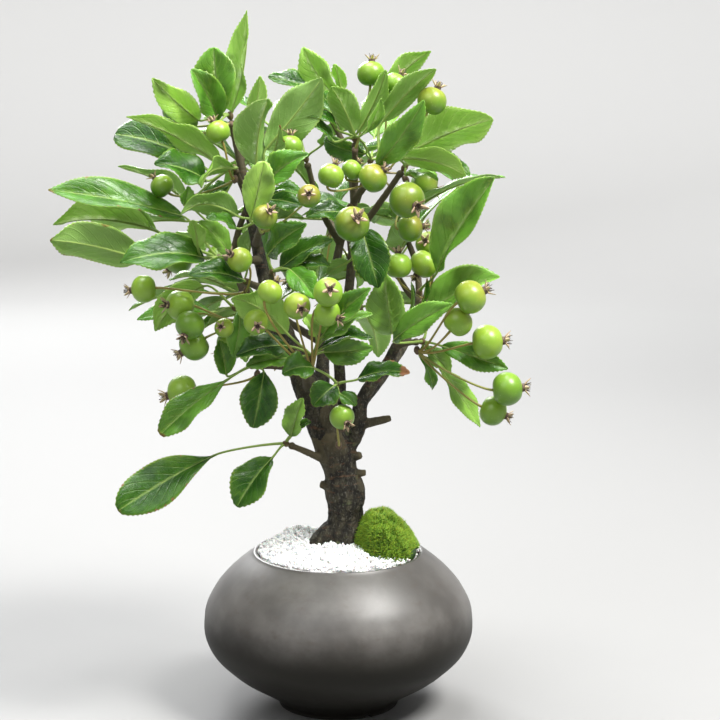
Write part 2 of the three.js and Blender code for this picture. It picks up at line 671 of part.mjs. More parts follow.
function bladeFrame(leaf, t) {
  const slope = (4 * leaf.bow * (1 - 2 * t)) / leaf.length;
  const point = leaf.base.clone().lerp(leaf.tip, t);
  point.addScaledVector(leaf.normal, 4 * leaf.bow * t * (1 - t));
  const along = leaf.along.clone().addScaledVector(leaf.normal, slope).normalize();
  const normal = leaf.normal.clone().addScaledVector(leaf.along, -slope).normalize();
  normal.applyAxisAngle(along, leaf.twist * (t - 0.4));
  return { point, along, normal, side: along.clone().cross(normal) };
}

function section(frame, half, thick, foldLeft, foldRight) {
  const { point, side, normal } = frame;
  const margin = (sign, fold) =>
    point
      .clone()
      .addScaledVector(side, sign * half * Math.cos(fold))
      .addScaledVector(normal, half * Math.sin(fold));
  const top = point.clone().addScaledVector(normal, thick / 2);
  const bottom = point.clone().addScaledVector(normal, -thick / 2);
  return [margin(1, foldLeft), top, margin(-1, foldRight), bottom];
}

function bladeRings(leaf, grow) {
  const thick = blade.thick + 2 * grow;
  const rings = [section(bladeFrame(leaf, 0), petiole.half + grow, thick, 0, 0)];
  for (const t of leaf.width < blade.small ? blade.few : blade.stations) {
    const half = (leaf.width / 2) * outline(t) + grow;
    const wave = (phase) => blade.wave * Math.sin(2 * Math.PI * (1.3 * t + phase));
    const left = leaf.fold + wave(leaf.phaseLeft);
    const right = leaf.fold + wave(leaf.phaseRight);
    rings.push(section(bladeFrame(leaf, t), half, thick, left, right));
  }
  rings.push([leaf.tip.clone().addScaledVector(leaf.along, grow)]);
  return rings;
}

function stemPath(from, start, to, arrive) {
  const reach = Math.min(petiole.reach, from.distanceTo(to) / 3);
  return new THREE.CubicBezierCurve3(
    from,
    from.clone().addScaledVector(start, reach),
    to.clone().addScaledVector(arrive, -reach),
    to,
  );
}

function petioleRings(leaf, grow) {
  let { along, normal, side } = bladeFrame(leaf, 0);
  const path = stemPath(leaf.crown, leaf.start, leaf.base, along);
  const rings = [];
  const short = leaf.crown.distanceTo(leaf.base) < petiole.short;
  for (const t of short ? [0] : [0.5, 0]) {
    const tangent = path.getTangent(t);
    const turn = new THREE.Quaternion().setFromUnitVectors(along, tangent);
    along = tangent;
    normal = normal.applyQuaternion(turn);
    side = side.applyQuaternion(turn);
    const frame = { point: path.getPoint(t), normal, side };
    rings.unshift(section(frame, petiole.half + grow, 2 * (petiole.half + grow), 0, 0));
  }
  return rings;
}

function leafSolids(leaf, grow) {
  const bladePart = bladeRings(leaf, grow);
  return {
    whole: skin([...petioleRings(leaf, grow), ...bladePart]),
    part: skin(bladePart),
  };
}

// ---- fruits: round, with the dried calyx as a five-pointed crown and a thin curved stalk ----

function ringRound(centre, axis, height, radii) {
  const side = new THREE.Vector3(1, 0, 0).cross(axis).normalize();
  const other = axis.clone().cross(side);
  return radii.map((radius, j) => {
    const angle = (2 * Math.PI * j) / radii.length;
    return centre
      .clone()
      .addScaledVector(axis, height)
      .addScaledVector(side, radius * Math.cos(angle))
      .addScaledVector(other, radius * Math.sin(angle));
  });
}

function fruitSolids({ crown, start, centre, axis, radius }, grow) {
  const r = radius + grow;
  const long = r * fruit.long;
  const calyx = radius / 7;
  const around = (height, width) => ringRound(centre, axis, height, Array(10).fill(width));
  const points = Array.from({ length: 10 }, (_, j) => calyx * (j % 2 ? fruit.waist : fruit.sepal) + grow);
  const star = ringRound(centre, axis, 0, points).map((p, j) =>
    p.addScaledVector(axis, long + (j % 2 ? -0.1 : 1.6) * calyx),
  );
  const flesh = [
    ...[-56, -8, 40].map((lift) => {
      const angle = THREE.MathUtils.degToRad(lift);
      return around(long * Math.sin(angle), r * Math.cos(angle));
    }),
    star,
    ringRound(centre, axis, long + 0.9 * calyx, [0]),
  ];
  const foot = centre.clone().addScaledVector(axis, -0.75 * long);
  const path = stemPath(crown, start, foot, axis);
  const stalk = [0, 0.55, 1].map((t) =>
    ringRound(path.getPoint(t), path.getTangent(t), 0, Array(3).fill(fruit.stalk + grow)),
  );
  const part = skin(flesh);
  return { whole: part.add(skin(stalk)), part };
}

// ---- spurs: where the sprays and bunches start, and what grows on them ----

function spurOf(twig) {
  const [before, end] = twig.slice(-2).map(([a, b, y]) => placed(a, b, y).point);
  const out = end.clone().sub(before).normalize();
  const seat = knob.wood + knob.crown + clearance;
  const hang = up.clone().negate().addScaledVector(out, out.z);
  if (hang.length() < 0.3) hang.set(0, -1, 0).addScaledVector(out, out.y);
  hang.normalize();
  return {
    end,
    out,
    hang,
    leafCrown: end.clone().addScaledVector(out, seat),
    fruitCrown: end.clone().addScaledVector(hang, seat),
  };
}

function leaving(from, to, out) {
  return to.clone().sub(from).normalize().addScaledVector(out, 0.9).normalize();
}

function waves(draw) {
  return { twist: draw(-0.25, 0.25), phaseLeft: draw(0, 1), phaseRight: draw(0, 1) };
}

function frontLeaf(spur, row, draw) {
  const [a0, b0, y0, a1, b1, y1, width, turn, bow, fold] = row;
  const drawn = waves(draw);
  return (step) => {
    const base = placed(a0, b0, y0 + step / 2).point;
    const tip = placed(a1, b1, y1 + step).point;
    const along = tip.clone().sub(base).normalize();
    const toEye = eye.clone().sub(base).normalize();
    const front = toEye.addScaledVector(along, -toEye.dot(along)).normalize();
    const edge = along.clone().cross(front);
    const upright = Math.abs(edge.x) > Math.abs(edge.z);
    if ((upright ? edge.x : edge.z) < 0) edge.negate();
    const angle = THREE.MathUtils.degToRad(turn);
    const face = front.multiplyScalar(Math.cos(angle)).addScaledVector(edge, Math.sin(angle));
    return makeLeaf({
      crown: spur.leafCrown,
      start: leaving(spur.leafCrown, base, spur.out),
      base,
      tip,
      face,
      width,
      bow,
      fold: THREE.MathUtils.degToRad(fold),
      draw: drawn,
    });
  };
}

function frontFruit(spur, row) {
  const [a, b, y, radius, calyxA, calyxB] = row;
  return (step) => {
    const { point: centre, share } = placed(a, b, y + step);
    const across = (calyxA - a) / radius;
    const rise = (calyxB - b) / radius;
    const towards = Math.sqrt(Math.max(0, 1 - across * across - rise * rise));
    const axis = new THREE.Vector3(across, 0, 0)
      .addScaledVector(sheetUp, rise)
      .addScaledVector(sight, -towards)
      .normalize();
    const start = leaving(spur.fruitCrown, centre, spur.hang);
    return { crown: spur.fruitCrown, start, centre, axis, radius: radius * share };
  };
}

function around(out, spin, lean) {
  const side = new THREE.Vector3(1, 0, 0).cross(out).normalize();
  return out.clone().applyAxisAngle(side, lean).applyAxisAngle(out, spin);
}

function whorlLeaf(spur, order, draw) {
  const drawn = waves(draw);
  const lean = THREE.MathUtils.degToRad(draw(...whorl.lean));
  const [stem, length, width] = [draw(...whorl.petiole), draw(...whorl.blade), draw(...whorl.width)];
  return (step) => {
    const spin = order * whorl.turn + THREE.MathUtils.degToRad(step);
    const out = around(spur.out, spin, lean);
    const base = spur.leafCrown.clone().addScaledVector(out, stem);
    const along = out.clone().addScaledVector(up, -whorl.droop).normalize();
    return makeLeaf({
      crown: spur.leafCrown,
      start: out.clone().addScaledVector(spur.out, 0.4).normalize(),
      base,
      tip: base.clone().addScaledVector(along, length),
      face: spur.out.clone().multiplyScalar(0.5).add(up),
      width,
      bow: 4,
      fold: 0.25,
      draw: drawn,
    });
  };
}

function whorlFruit(spur, order, draw) {
  const [length, radius] = [draw(...whorl.stalk), draw(...whorl.fruitRadius)];
  return (step) => {
    const spin = order * whorl.turn + THREE.MathUtils.degToRad(step);
    const out = around(spur.hang, spin, 0.6);
    const centre = spur.fruitCrown.clone().addScaledVector(out, length);
    const start = out.clone().addScaledVector(spur.hang, 0.4).normalize();
    const axis = out.clone().addScaledVector(up, -0.3).normalize();
    return { crown: spur.fruitCrown, start, centre, axis, radius };
  };
}

// ---- putting it together ----

// What each new leaf or fruit has to stay clear of. Within a spray or bunch only the blades or
// the fruits themselves have to, because their stems meet at the crown.
const standing = [];

function stand(owner, whole, part = whole) {
  standing.push({ owner, whole, part, box: whole.boundingBox(), partBox: part.boundingBox() });
}

function boxesMeet(one, two) {
  return [0, 1, 2].every((i) => one.min[i] < two.max[i] && two.min[i] < one.max[i]);
}

function isClear(owner, room) {
  const wholeBox = room.whole.boundingBox();
  const partBox = room.part.boundingBox();
  return standing.every((other) =>
    other.owner === owner
      ? !boxesMeet(partBox, other.partBox) || room.part.intersect(other.part).isEmpty()
      : !boxesMeet(wholeBox, other.box) || room.whole.intersect(other.whole).isEmpty(),
  );
}

// Places what a spur carries, each piece at the first step where it is clear of all that stands.
function grow(owner, crown, seat, makers, solids) {
  const body = [bud(crown, seat)];
  for (const maker of makers) {
    const step = steps.find((each) => isClear(owner, solids(maker(each), clearance + 0.1)));
    if (step === undefined) continue;
    const { whole, part } = solids(maker(step), 0);
    stand(owner, whole, part);
    body.push(whole);
  }
  return joined(body);
}

const spurs = Object.entries({ ...frontSpurs, ...backSpurs }).map(([name, spur], order) => {
  const draw = seededDraw(4801 + 97 * order);
  const place = spurOf(spur.twig);
  const byRule = typeof spur.leaves === "number";
  return {
    name,
    twig: { sides: 5, points: spur.twig },
    ...place,
    leaves: byRule
      ? Array.from({ length: spur.leaves }, (_, i) => whorlLeaf(place, i, draw))
      : spur.leaves.map((row) => frontLeaf(place, row, draw)),
    fruits: byRule
      ? Array.from({ length: spur.fruits }, (_, i) => whorlFruit(place, i, draw))
      : spur.fruits.map((row) => frontFruit(place, row)),
  };
});

const woodParts = [
  ...Object.values(limbs).map((each) => limb(each, 0)),
  ...spurs.map(({ twig, out }) => limb(twig, 0, out)),
];
woodParts.forEach((part) => stand("wood", part));
for (const spur of spurs) {
  if (spur.leaves.length) stand(`leaves_${spur.name}`, bud(spur.leafCrown, spur.end));
  if (spur.fruits.length) stand(`fruits_${spur.name}`, bud(spur.fruitCrown, spur.end));
}

const lowWood = ["trunk", "rootLeft", "rootRight", "rootBack", "cutLeft"];
const woodRoom = joined(lowWood.map((name) => limb(limbs[name], 1.2 * clearance)));

piece("pot", makePot(), finishes.clay);
piece("drain_net", makeNet(), finishes.net);
piece("soil", makeSoil(woodRoom), finishes.soil);
piece("gravel", makeGravel(woodRoom, makeMoss(clearance)), finishes.gravel);
piece("moss", makeMoss(0).subtract(woodRoom), finishes.moss);
piece("wood", joined(woodParts), finishes.bark);

for (const { name, end, fruitCrown, fruits } of spurs) {
  if (!fruits.length) continue;
  const node = `fruits_${name}`;
  piece(node, grow(node, fruitCrown, end, fruits, fruitSolids), finishes.fruit);
}
for (const { name, end, leafCrown, leaves } of spurs) {
  if (!leaves.length) continue;
  const node = `leaves_${name}`;
  piece(node, grow(node, leafCrown, end, leaves, leafSolids), finishes.leaf);
}

export default bonsai;
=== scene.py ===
import math

import bmesh
import bpy
import numpy as np
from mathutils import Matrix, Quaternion, Vector, kdtree, noise


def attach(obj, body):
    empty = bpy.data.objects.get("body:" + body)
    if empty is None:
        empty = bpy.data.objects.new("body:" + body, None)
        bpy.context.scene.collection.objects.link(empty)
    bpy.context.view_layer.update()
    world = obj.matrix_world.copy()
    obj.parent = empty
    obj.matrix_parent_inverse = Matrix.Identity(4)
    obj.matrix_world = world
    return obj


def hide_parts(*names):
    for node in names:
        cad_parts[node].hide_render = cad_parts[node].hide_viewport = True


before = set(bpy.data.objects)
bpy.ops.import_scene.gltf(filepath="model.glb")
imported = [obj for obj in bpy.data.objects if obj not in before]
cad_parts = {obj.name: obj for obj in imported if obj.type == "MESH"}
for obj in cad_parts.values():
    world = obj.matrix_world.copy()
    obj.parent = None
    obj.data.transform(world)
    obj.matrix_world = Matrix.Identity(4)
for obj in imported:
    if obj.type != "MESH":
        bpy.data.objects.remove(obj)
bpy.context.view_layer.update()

mm = 0.001  # everything below is worked out in millimetres and written in metres

# A fruiting crabapple bonsai. The limbs, spurs, leaves and fruits are set out on a front drawing:
# a is millimetres to the right, b millimetres up, and y how far behind the drawing's sheet.
drawing = {"middle": (10, 170), "aim": (11, 0, 177.6), "eyeDistance": 960, "pitchDegrees": 9.5}

# each limb's points: a, b, y and radius
limbs = {
    "trunk": [
        (3, 64, 1, 10.5), (3, 76, 0, 10.6), (2.6, 84, 0, 9.2), (2.5, 95, 0, 9),
        (2.6, 104, -1, 10.4), (0.5, 114, -1, 8.6), (-3, 126, -2, 9.6), (-9, 140, -3, 8.4),
        (-16, 155, -4, 7), (-22, 170, -3, 5.8), (-30, 188, -2, 4.6), (-37, 208, 0, 3.7),
        (-42, 230, 2, 3.1), (-46, 250, 2, 2.6), (-50, 270, 1, 2.1),
    ],
    "rightBranch": [
        (2.5, 126, -1, 5.6), (8.5, 136, -4, 4.4), (10.3, 148, -6, 3.6), (15.8, 158, -8, 3.2),
        (24, 169, -10, 2.8), (28, 177, -12, 2.6),
    ],
    "middleStem": [
        (-4, 132, 2, 5), (0, 153, 5, 3.3), (-0.5, 175, 4, 2.8), (4, 202, 2, 2.5), (6, 222, 0, 2.3),
        (7, 250, -4, 2),
    ],
    "backBranch": [
        (-9, 140, 2, 5), (-9, 158, 16, 4), (-8, 178, 30, 3.2), (-5, 202, 42, 2.7),
        (0, 228, 50, 2.2),
    ],
    "backRight": [(10, 148, -4, 3.4), (21, 162, 8, 3), (32, 178, 20, 2.6), (40, 198, 29, 2.2)],
    "backLeft": [(-22, 170, -2, 3.6), (-34, 184, 12, 3), (-47, 202, 24, 2.4), (-54, 222, 30, 2)],
    "rootLeft": [(0, 88, 0, 5), (-7, 83, -3, 5.2), (-13, 77, -5, 4), (-17, 68, -6, 3)],
    "rootRight": [(4, 84, 0, 5), (11, 78, -3, 4), (17, 70, -4, 2.6), (22, 62, -4, 1.6)],
    "rootBack": [(3, 86, 2, 5), (2, 81, 12, 4), (1, 72, 20, 2.8), (0, 62, 26, 1.8)],
    "cutLeft": [(-2, 107, -1, 4), (-8, 107.5, -3, 2.3), (-9.8, 108, -3.5, 1.9)],
    "cutLow": [(3, 113, -2, 4), (11, 113.5, -4, 1.9), (13, 113.7, -4, 1.6)],
    "cutHigh": [(3, 121, -2, 4), (8.5, 122, -5, 2.3), (10.5, 122.4, -6, 1.9)],
    "stubRight": [
        (8.5, 137, -4, 3), (16, 139, -5, 2.4), (22, 140.2, -6, 2.1), (25.5, 141, -6, 1.6),
    ],
}

# each spur's twig as a limb, then its leaves and its fruits. A leaf: a, b and y of its base and
# of its tip, width, turn, bow, fold. A fruit: a, b, y, radius, and a and b of its dried flower.
frontSpurs = {
    "crown_left": (
        [(-50, 270, 1, 2.1), (-52, 279, 0, 1.9), (-54, 288, 0, 1.7)],
        [(-54, 294, 0, -46.5, 345, -4, 24, -45, -3, 38),
         (-59, 293, -5, -63, 326.5, -14, 28, -25, 2, 15),
         (-61, 290, -10, -74.5, 315.5, -24, 20, 22, 3, 25),
         (-71, 290, -6, -94, 311, -18, 19, -10, 4, 25)],
        [(-83, 294.5, 4, 5.6, -83.6, 300.2), (-76, 289, -8, 4.8, -77, 295)],
    ),
    "shoulder_left": (
        [(-46, 250, 2, 2), (-49, 257, -10, 1.7), (-52, 264, -21, 1.5)],
        [(-60, 268, -24, -107, 291.5, -36, 19, 125, 3, 18),
         (-66, 265, -18, -112.5, 283, -30, 30, 40, 5, 14),
         (-67.5, 260, -30, -93, 268, -44, 21, 48, 3, 15),
         (-78, 248, -28, -76, 257, -32, 8, 30, 1, 20),
         (-53, 266, -36, -69, 256, -48, 14, 110, 5, 10),
         (-56, 257, -32, -68, 248.5, -44, 13, 55, 2, 15)],
        [(-89, 257, -22, 5.6, -94, 262.5), (-61, 284, -30, 5.8, -65, 292.5)],
    ),
    "crown_middle_left": (
        [(-46, 250, 2, 2), (-43, 257, -16, 1.7), (-39, 265, -32, 1.5)],
        [(-37, 275.5, -36, -9, 311, -46, 22, 164, 3, 12),
         (-42, 267.5, -38, -36, 300.5, -52, 24, -145, 3, 35),
         (-45.5, 282, -22, -40, 312, -26, 11, 150, 2, 10),
         (-35, 267.5, -42, -30, 287.5, -46, 10, 110, 1, 15)],
        [(-25, 276.5, -40, 6, -24.5, 285)],
    ),
    "crown_back_left": (
        [(7, 250, -4, 2), (5, 268, 2, 1.8), (0, 282, 8, 1.6), (-6, 293, 10, 1.5)],
        [(-15.5, 307, 4, -36, 311.5, -2, 14, 55, 0, 15),
         (-1, 301, 8, -18.5, 326.5, 2, 19, -28, 4, 18), (1, 304, 14, -3, 318, 10, 8, 150, 1, 10),
         (0, 289, -4, -14, 305, -14, 13, 50, 3, 15)],
        [],
    ),
    "crown_middle": (
        [(7, 250, -4, 2), (7.5, 264, -9, 1.8), (7.5, 277, -15, 1.5)],
        [(9, 284, -16, 23, 315, -24, 13, 150, 3, 12),
         (7, 284, -22, -4.5, 306.5, -32, 15, 160, 3, 10),
         (11, 282.5, -26, 20.5, 301, -34, 9, 55, 2, 15),
         (-2, 286, -24, -20, 291, -34, 11, 60, 5, 10),
         (-4, 280, -28, -19, 288.5, -38, 11, 55, 3, 15),
         (12, 273, -10, -8, 280.5, 4, 13, -25, 3, 15)],
        [(15.5, 313, -4, 6.6, 16, 322)],
    ),
    "crown_right": (
        [(7, 250, -4, 1.9), (12.5, 257, -17, 1.7), (17.5, 265, -29, 1.5)],
        [(19, 268, -36, 42, 300, -50, 17, 25, 3, 15),
         (21, 289, -22, 48, 315.5, -32, 14, 150, 3, 12),
         (21.5, 303, -14, 45.5, 324.5, -22, 13, 145, 3, 12)],
        [(46, 299.5, -34, 7, 50.5, 310), (27.5, 307.5, -28, 6, 32.5, 316),
         (16.5, 261, -44, 7, 22, 265), (6, 265, -38, 5, 11.5, 271),
         (-4.5, 262, -50, 6.2, -1, 271.5)],
    ),
    "shoulder_right": (
        [(6, 230, -1, 2), (18, 246, -7, 1.8), (30, 263, -14, 1.5)],
        [(33, 262.5, -20, 49, 259.5, -30, 12, 60, 3, 15),
         (36, 274.5, -22, 76.5, 290.5, -38, 27, 152, 3, 14),
         (31, 271, -30, 63, 262, -46, 16, 140, 4, 10), (40, 270, -16, 65, 262, -26, 15, 60, 4, 12)],
        [(35, 236, -30, 6.6, 43, 237), (33.5, 250, -44, 8.6, 38, 246.5)],
    ),
    "right_upper": (
        [(28, 177, -12, 2.2), (33, 188, -9, 1.8), (38, 200, -6, 1.5)],
        [(48.5, 214, -16, 77.5, 261, -30, 29, -36, 3, 34)],
        [(29, 217, -30, 6.6, 29, 224.5), (42, 218, -22, 6.8, 38, 212),
         (44, 228, -10, 6, 42.5, 229)],
    ),
    "right_middle": (
        [(28, 177, -12, 2), (30, 184, -19, 1.5)],
        [(26, 183.5, -30, 22, 214, -46, 22, -4, 3, 28),
         (32.5, 185, -24, 35.5, 209, -30, 10, 85, 2, 10),
         (34, 183, -20, 43.5, 211, -26, 10, 75, 2, 10)],
        [],
    ),
    "right_low": (
        [(28, 177, -12, 2.2), (33, 178.5, -16, 1.8), (38, 179, -21, 1.5)],
        [(45, 195, -14, 80, 211.5, -26, 25, 38, 3, 34),
         (27, 180, -32, 56.5, 198, -46, 15, 30, 3, 15),
         (51, 177, -24, 84, 165.5, -32, 13, 10, 1, 15), (40, 172, -30, 46, 155, -38, 10, 50, 2, 15),
         (42, 176, -26, 55, 163, -34, 12, 40, 2, 15),
         (50.5, 165, -14, 70, 136.5, -6, 13, 35, 1, 18)],
        [(65, 201.5, -34, 8, 75, 206), (59, 189, -40, 7, 65, 196), (73.5, 179, -30, 8.2, 85, 180),
         (83.5, 155.5, -36, 8, 94.5, 156.5), (76.5, 144.5, -26, 7, 84.5, 141.5)],
    ),
    "middle_low": (
        [(-16, 155, -6, 2.6), (-17, 162, -24, 2), (-14.5, 170, -42, 1.5)],
        [(-26.5, 183.5, -60, -54, 201, -84, 21, 150, 6, 12),
         (-12, 182, -60, -18, 193, -68, 10, 20, 1, 35),
         (-8.5, 182.5, -52, 15.5, 206, -64, 14, 30, 3, 15),
         (-8.5, 180, -56, 16.5, 193, -72, 14, 50, 3, 15),
         (-9, 176, -60, 16.5, 181, -76, 13, 62, 3, 15),
         (-26, 177, -38, -52, 172, -46, 16, 40, 3, 12),
         (-8, 174, -50, 16.5, 176, -56, 14, -10, 3, 14),
         (-25, 171, -42, -47, 167, -48, 11, 30, 2, 12)],
        [(-35, 204, -66, 6, -31.5, 209.5), (-42, 189, -58, 6, -41, 187),
         (-21.5, 197, -66, 6.5, -19.5, 195.5), (-6, 204, -62, 7, -5, 205),
         (-6.5, 193.5, -70, 6.5, -1, 191)],
    ),
    "low_left": (
        [(-5, 119, -6, 2.6), (-12, 122, -9, 2), (-19, 125, -13, 1.7), (-24, 127, -17, 1.5)],
        [(-62.5, 122.5, -28, -111, 94.5, -50, 25, 24, 3, 14),
         (-34, 121, -26, -51.5, 96.5, -36, 21, -22, 3, 26),
         (-24.5, 132, -20, -18.5, 151, -24, 13, -25, 1, 25),
         (-21, 136, -24, -14.5, 139, -28, 6, 40, 1, 20)],
        [],
    ),
    "middle_twig": (
        [(-3, 140, -8, 2.4), (-3, 148, -19, 1.9), (-2, 155, -26, 1.5)],
        [(-3, 157, -34, -13.5, 147, -42, 15, 15, 2, 14), (0, 153, -32, 8, 147, -38, 9, 35, 1, 15),
         (9, 160.5, -34, 35, 163.5, -44, 14, 48, 3, 12),
         (-13.5, 166, -54, -29, 163, -60, 15, 35, 3, 12)],
        [],
    ),
    "trunk_front": (
        [(-3, 122, -6, 3), (-1.5, 128, -14, 1.9), (-1, 131, -18, 1.5)],
        [],
        [(1, 141.5, -36, 6, 3.5, 138.5)],
    ),
    "left_low": (
        [(-20, 166, -5, 2.4), (-31, 167, -16, 1.9), (-41, 167, -26, 1.5)],
        [(-38, 164, -34, -43.5, 136, -42, 19, 5, 3, 14),
         (-56.5, 160, -32, -90, 132.5, -46, 18, 24, 3, 14),
         (-57, 163, -24, -60.5, 180, -28, 12, 20, 1, 18)],
        [(-78.5, 154, -26, 8, -88.5, 151.5)],
    ),
    "left_twig": (
        [(-30, 188, -3, 2.4), (-40, 191, -17, 1.9), (-50, 195, -30, 1.5)],
        [(-68.5, 207, -38, -92.5, 184.5, -50, 18, 150, 6, 12),
         (-65, 194, -22, -101.5, 190, -30, 15, 55, 3, 15),
         (-50, 195, -36, -53.5, 171.5, -34, 12, 25, 2, 15)],
        [(-80, 197.5, -40, 7.2, -86, 197.5), (-75, 187.5, -50, 7, -77.5, 182),
         (-73, 177.5, -40, 7.5, -81, 172.5), (-58, 186, -44, 4.6, -59, 186.5)],
    ),
    "left_front": (
        [(-36, 205, -2, 2.4), (-42, 207, -22, 1.9), (-46.5, 209, -42, 1.5)],
        [(-48.5, 210, -52, -76, 212.5, -66, 15, 48, 3, 14)],
        [(-98, 205.5, -48, 6.6, -107, 204.5), (-50, 220, -60, 6, -54, 222.5)],
    ),
    "left_middle": (
        [(-40, 220, 0, 2.2), (-49, 220, -10, 1.9), (-58, 221, -21, 1.5)],
        [(-79, 242, -22, -146, 255, -42, 23, 50, 2, 18),
         (-95, 235.5, -28, -143.5, 237.5, -46, 22, 130, 5, 28),
         (-92, 235, -16, -122, 246, -22, 15, 60, 3, 15),
         (-100, 220.5, -36, -145, 230, -54, 25, 145, 3, 12),
         (-68, 221, -44, -110, 218.5, -62, 23, 42, 5, 14),
         (-71, 226, -48, -73.5, 240, -54, 9, 155, 1, 12),
         (-56, 224, -38, -70.5, 239.5, -50, 13, 28, 2, 15)],
        [],
    ),
    "middle_front": (
        [(-42, 228, 2, 2.2), (-41, 232, -24, 1.8), (-39, 239, -47, 1.5)],
        [(-45, 240, -60, -38, 269.5, -72, 15, 8, 3, 10),
         (-36, 256, -54, -15.5, 273, -66, 16, 38, 5, 20),
         (-37, 252, -56, -18, 253, -68, 11, 58, 3, 12),
         (-36, 250, -44, -19, 247, -50, 12, 30, 2, 12),
         (-51, 242, -50, -80, 242.5, -64, 18, 128, 7, 8),
         (-52, 236, -48, -67, 241, -60, 10, 55, 2, 12)],
        [(-37.5, 241.5, -76, 6, -35, 244), (-15.5, 252, -70, 5.6, -15.5, 252.5)],
    ),
    "middle_right": (
        [(6, 222, 0, 2), (5, 232, -18, 1.8), (5, 244, -33, 1.5)],
        [(5, 242.5, -46, -17, 241.5, -62, 13, 45, 3, 12),
         (11, 235, -40, 19, 206, -50, 20, 4, 4, 18), (4, 219, -44, -6.5, 213, -50, 8, 150, 1, 12)],
        [(6, 238, -56, 8.4, 8.5, 240.5)],
    ),
    "middle_left": (
        [(-36, 205, -2, 2.2), (-35, 208, -22, 1.8), (-34, 213, -38, 1.5)],
        [(-36, 222.5, -46, -16.5, 238, -60, 16, 28, 3, 14),
         (-30, 215, -44, -3.5, 230, -54, 15, 45, 3, 14),
         (-22, 219, -50, -5, 217, -60, 10, 40, 2, 12),
         (-25, 215, -54, -12.5, 200.5, -64, 14, 20, 3, 16)],
        [],
    ),
}

# spurs at the back: a twig, and how many leaves and fruits stand round its end
backSpurs = {
    "back_low_left": ([(-8, 178, 30, 2.4), (-21, 186, 42, 2), (-32, 194, 50, 1.5)], 5, 2),
    "back_low_right": ([(-8, 178, 30, 2.4), (1, 186, 42, 2), (8, 194, 52, 1.5)], 4, 0),
    "back_left": ([(-54, 222, 30, 1.9), (-60, 230, 38, 1.7), (-64, 236, 46, 1.5)], 5, 2),
    "back_left_high": ([(-54, 222, 30, 1.9), (-49, 240, 34, 1.7), (-42, 256, 34, 1.5)], 4, 0),
    "back_middle": ([(0, 228, 50, 2), (-2, 234, 60, 1.7), (-4, 238, 68, 1.5)], 5, 3),
    "back_top_left": ([(0, 228, 50, 2), (-10, 246, 50, 1.7), (-16, 267, 44, 1.5)], 4, 0),
    "back_top_right": ([(0, 228, 50, 2), (8, 248, 48, 1.7), (14, 266, 46, 1.5)], 5, 2),
    "back_right": ([(40, 198, 29, 2), (34, 204, 38, 1.7), (29, 212, 40, 1.5)], 5, 0),
    "back_right_high": ([(40, 198, 29, 2), (38, 218, 32, 1.7), (31, 236, 36, 1.5)], 4, 0),
    "back_crown": ([(-50, 270, 1, 1.7), (-43, 276, 10, 1.6), (-36, 283, 18, 1.5)], 3, 0),
    "side_left": ([(-34, 184, 12, 2.2), (-42, 192, 19, 1.8), (-48, 200, 26, 1.5)], 4, 0),
}

whorl = {
    "turn": math.radians(137.5),
    "lean": (48, 80),  # degrees between a petiole and its twig
    "petiole": (9, 17),
    "blade": (36, 47),
    "width": (18, 23),
    "droop": 0.3,
    "bow": 4,
    "follow": 0.4,  # how far stalks follow their twig before they bend out
    "fold": 0.25,
    "stalk": (22, 32),
    "fruitRadius": (6.4, 7.8),
    "fruitLean": 0.6,
    "fruitDroop": 0.3,
}

# shader helpers


class Value:
    def __init__(self, graph, socket):
        self.graph = graph
        self.socket = socket

    def worked(self, operation, first, second=None, clamp=False):
        sockets = {0: first} if second is None else {0: first, 1: second}
        settings = {"operation": operation, "use_clamp": clamp}
        return self.graph.add("ShaderNodeMath", settings, sockets)["Value"]

    def __add__(self, other):
        return self.worked("ADD", self, other)

    def __radd__(self, other):
        return self.worked("ADD", other, self)

    def __sub__(self, other):
        return self.worked("SUBTRACT", self, other)

    def __rsub__(self, other):
        return self.worked("SUBTRACT", other, self)

    def __mul__(self, other):
        return self.worked("MULTIPLY", self, other)

    def __rmul__(self, other):
        return self.worked("MULTIPLY", other, self)

    def __abs__(self):
        return self.worked("ABSOLUTE", self)

    def most(self, other):
        return self.worked("MAXIMUM", self, other)

    def pingpong(self, scale):
        return self.worked("PINGPONG", self, scale)

    def held(self):
        return self.worked("ADD", self, 0.0, clamp=True)

    def step(self, low, high):
        settings = {"interpolation_type": "SMOOTHSTEP"}
        return self.graph.add("ShaderNodeMapRange", settings, {0: self, 1: low, 2: high})["Result"]


class Outputs:
    def __init__(self, graph, node):
        self.graph = graph
        self.node = node

    def __getitem__(self, key):
        return Value(self.graph, self.node.outputs[key])


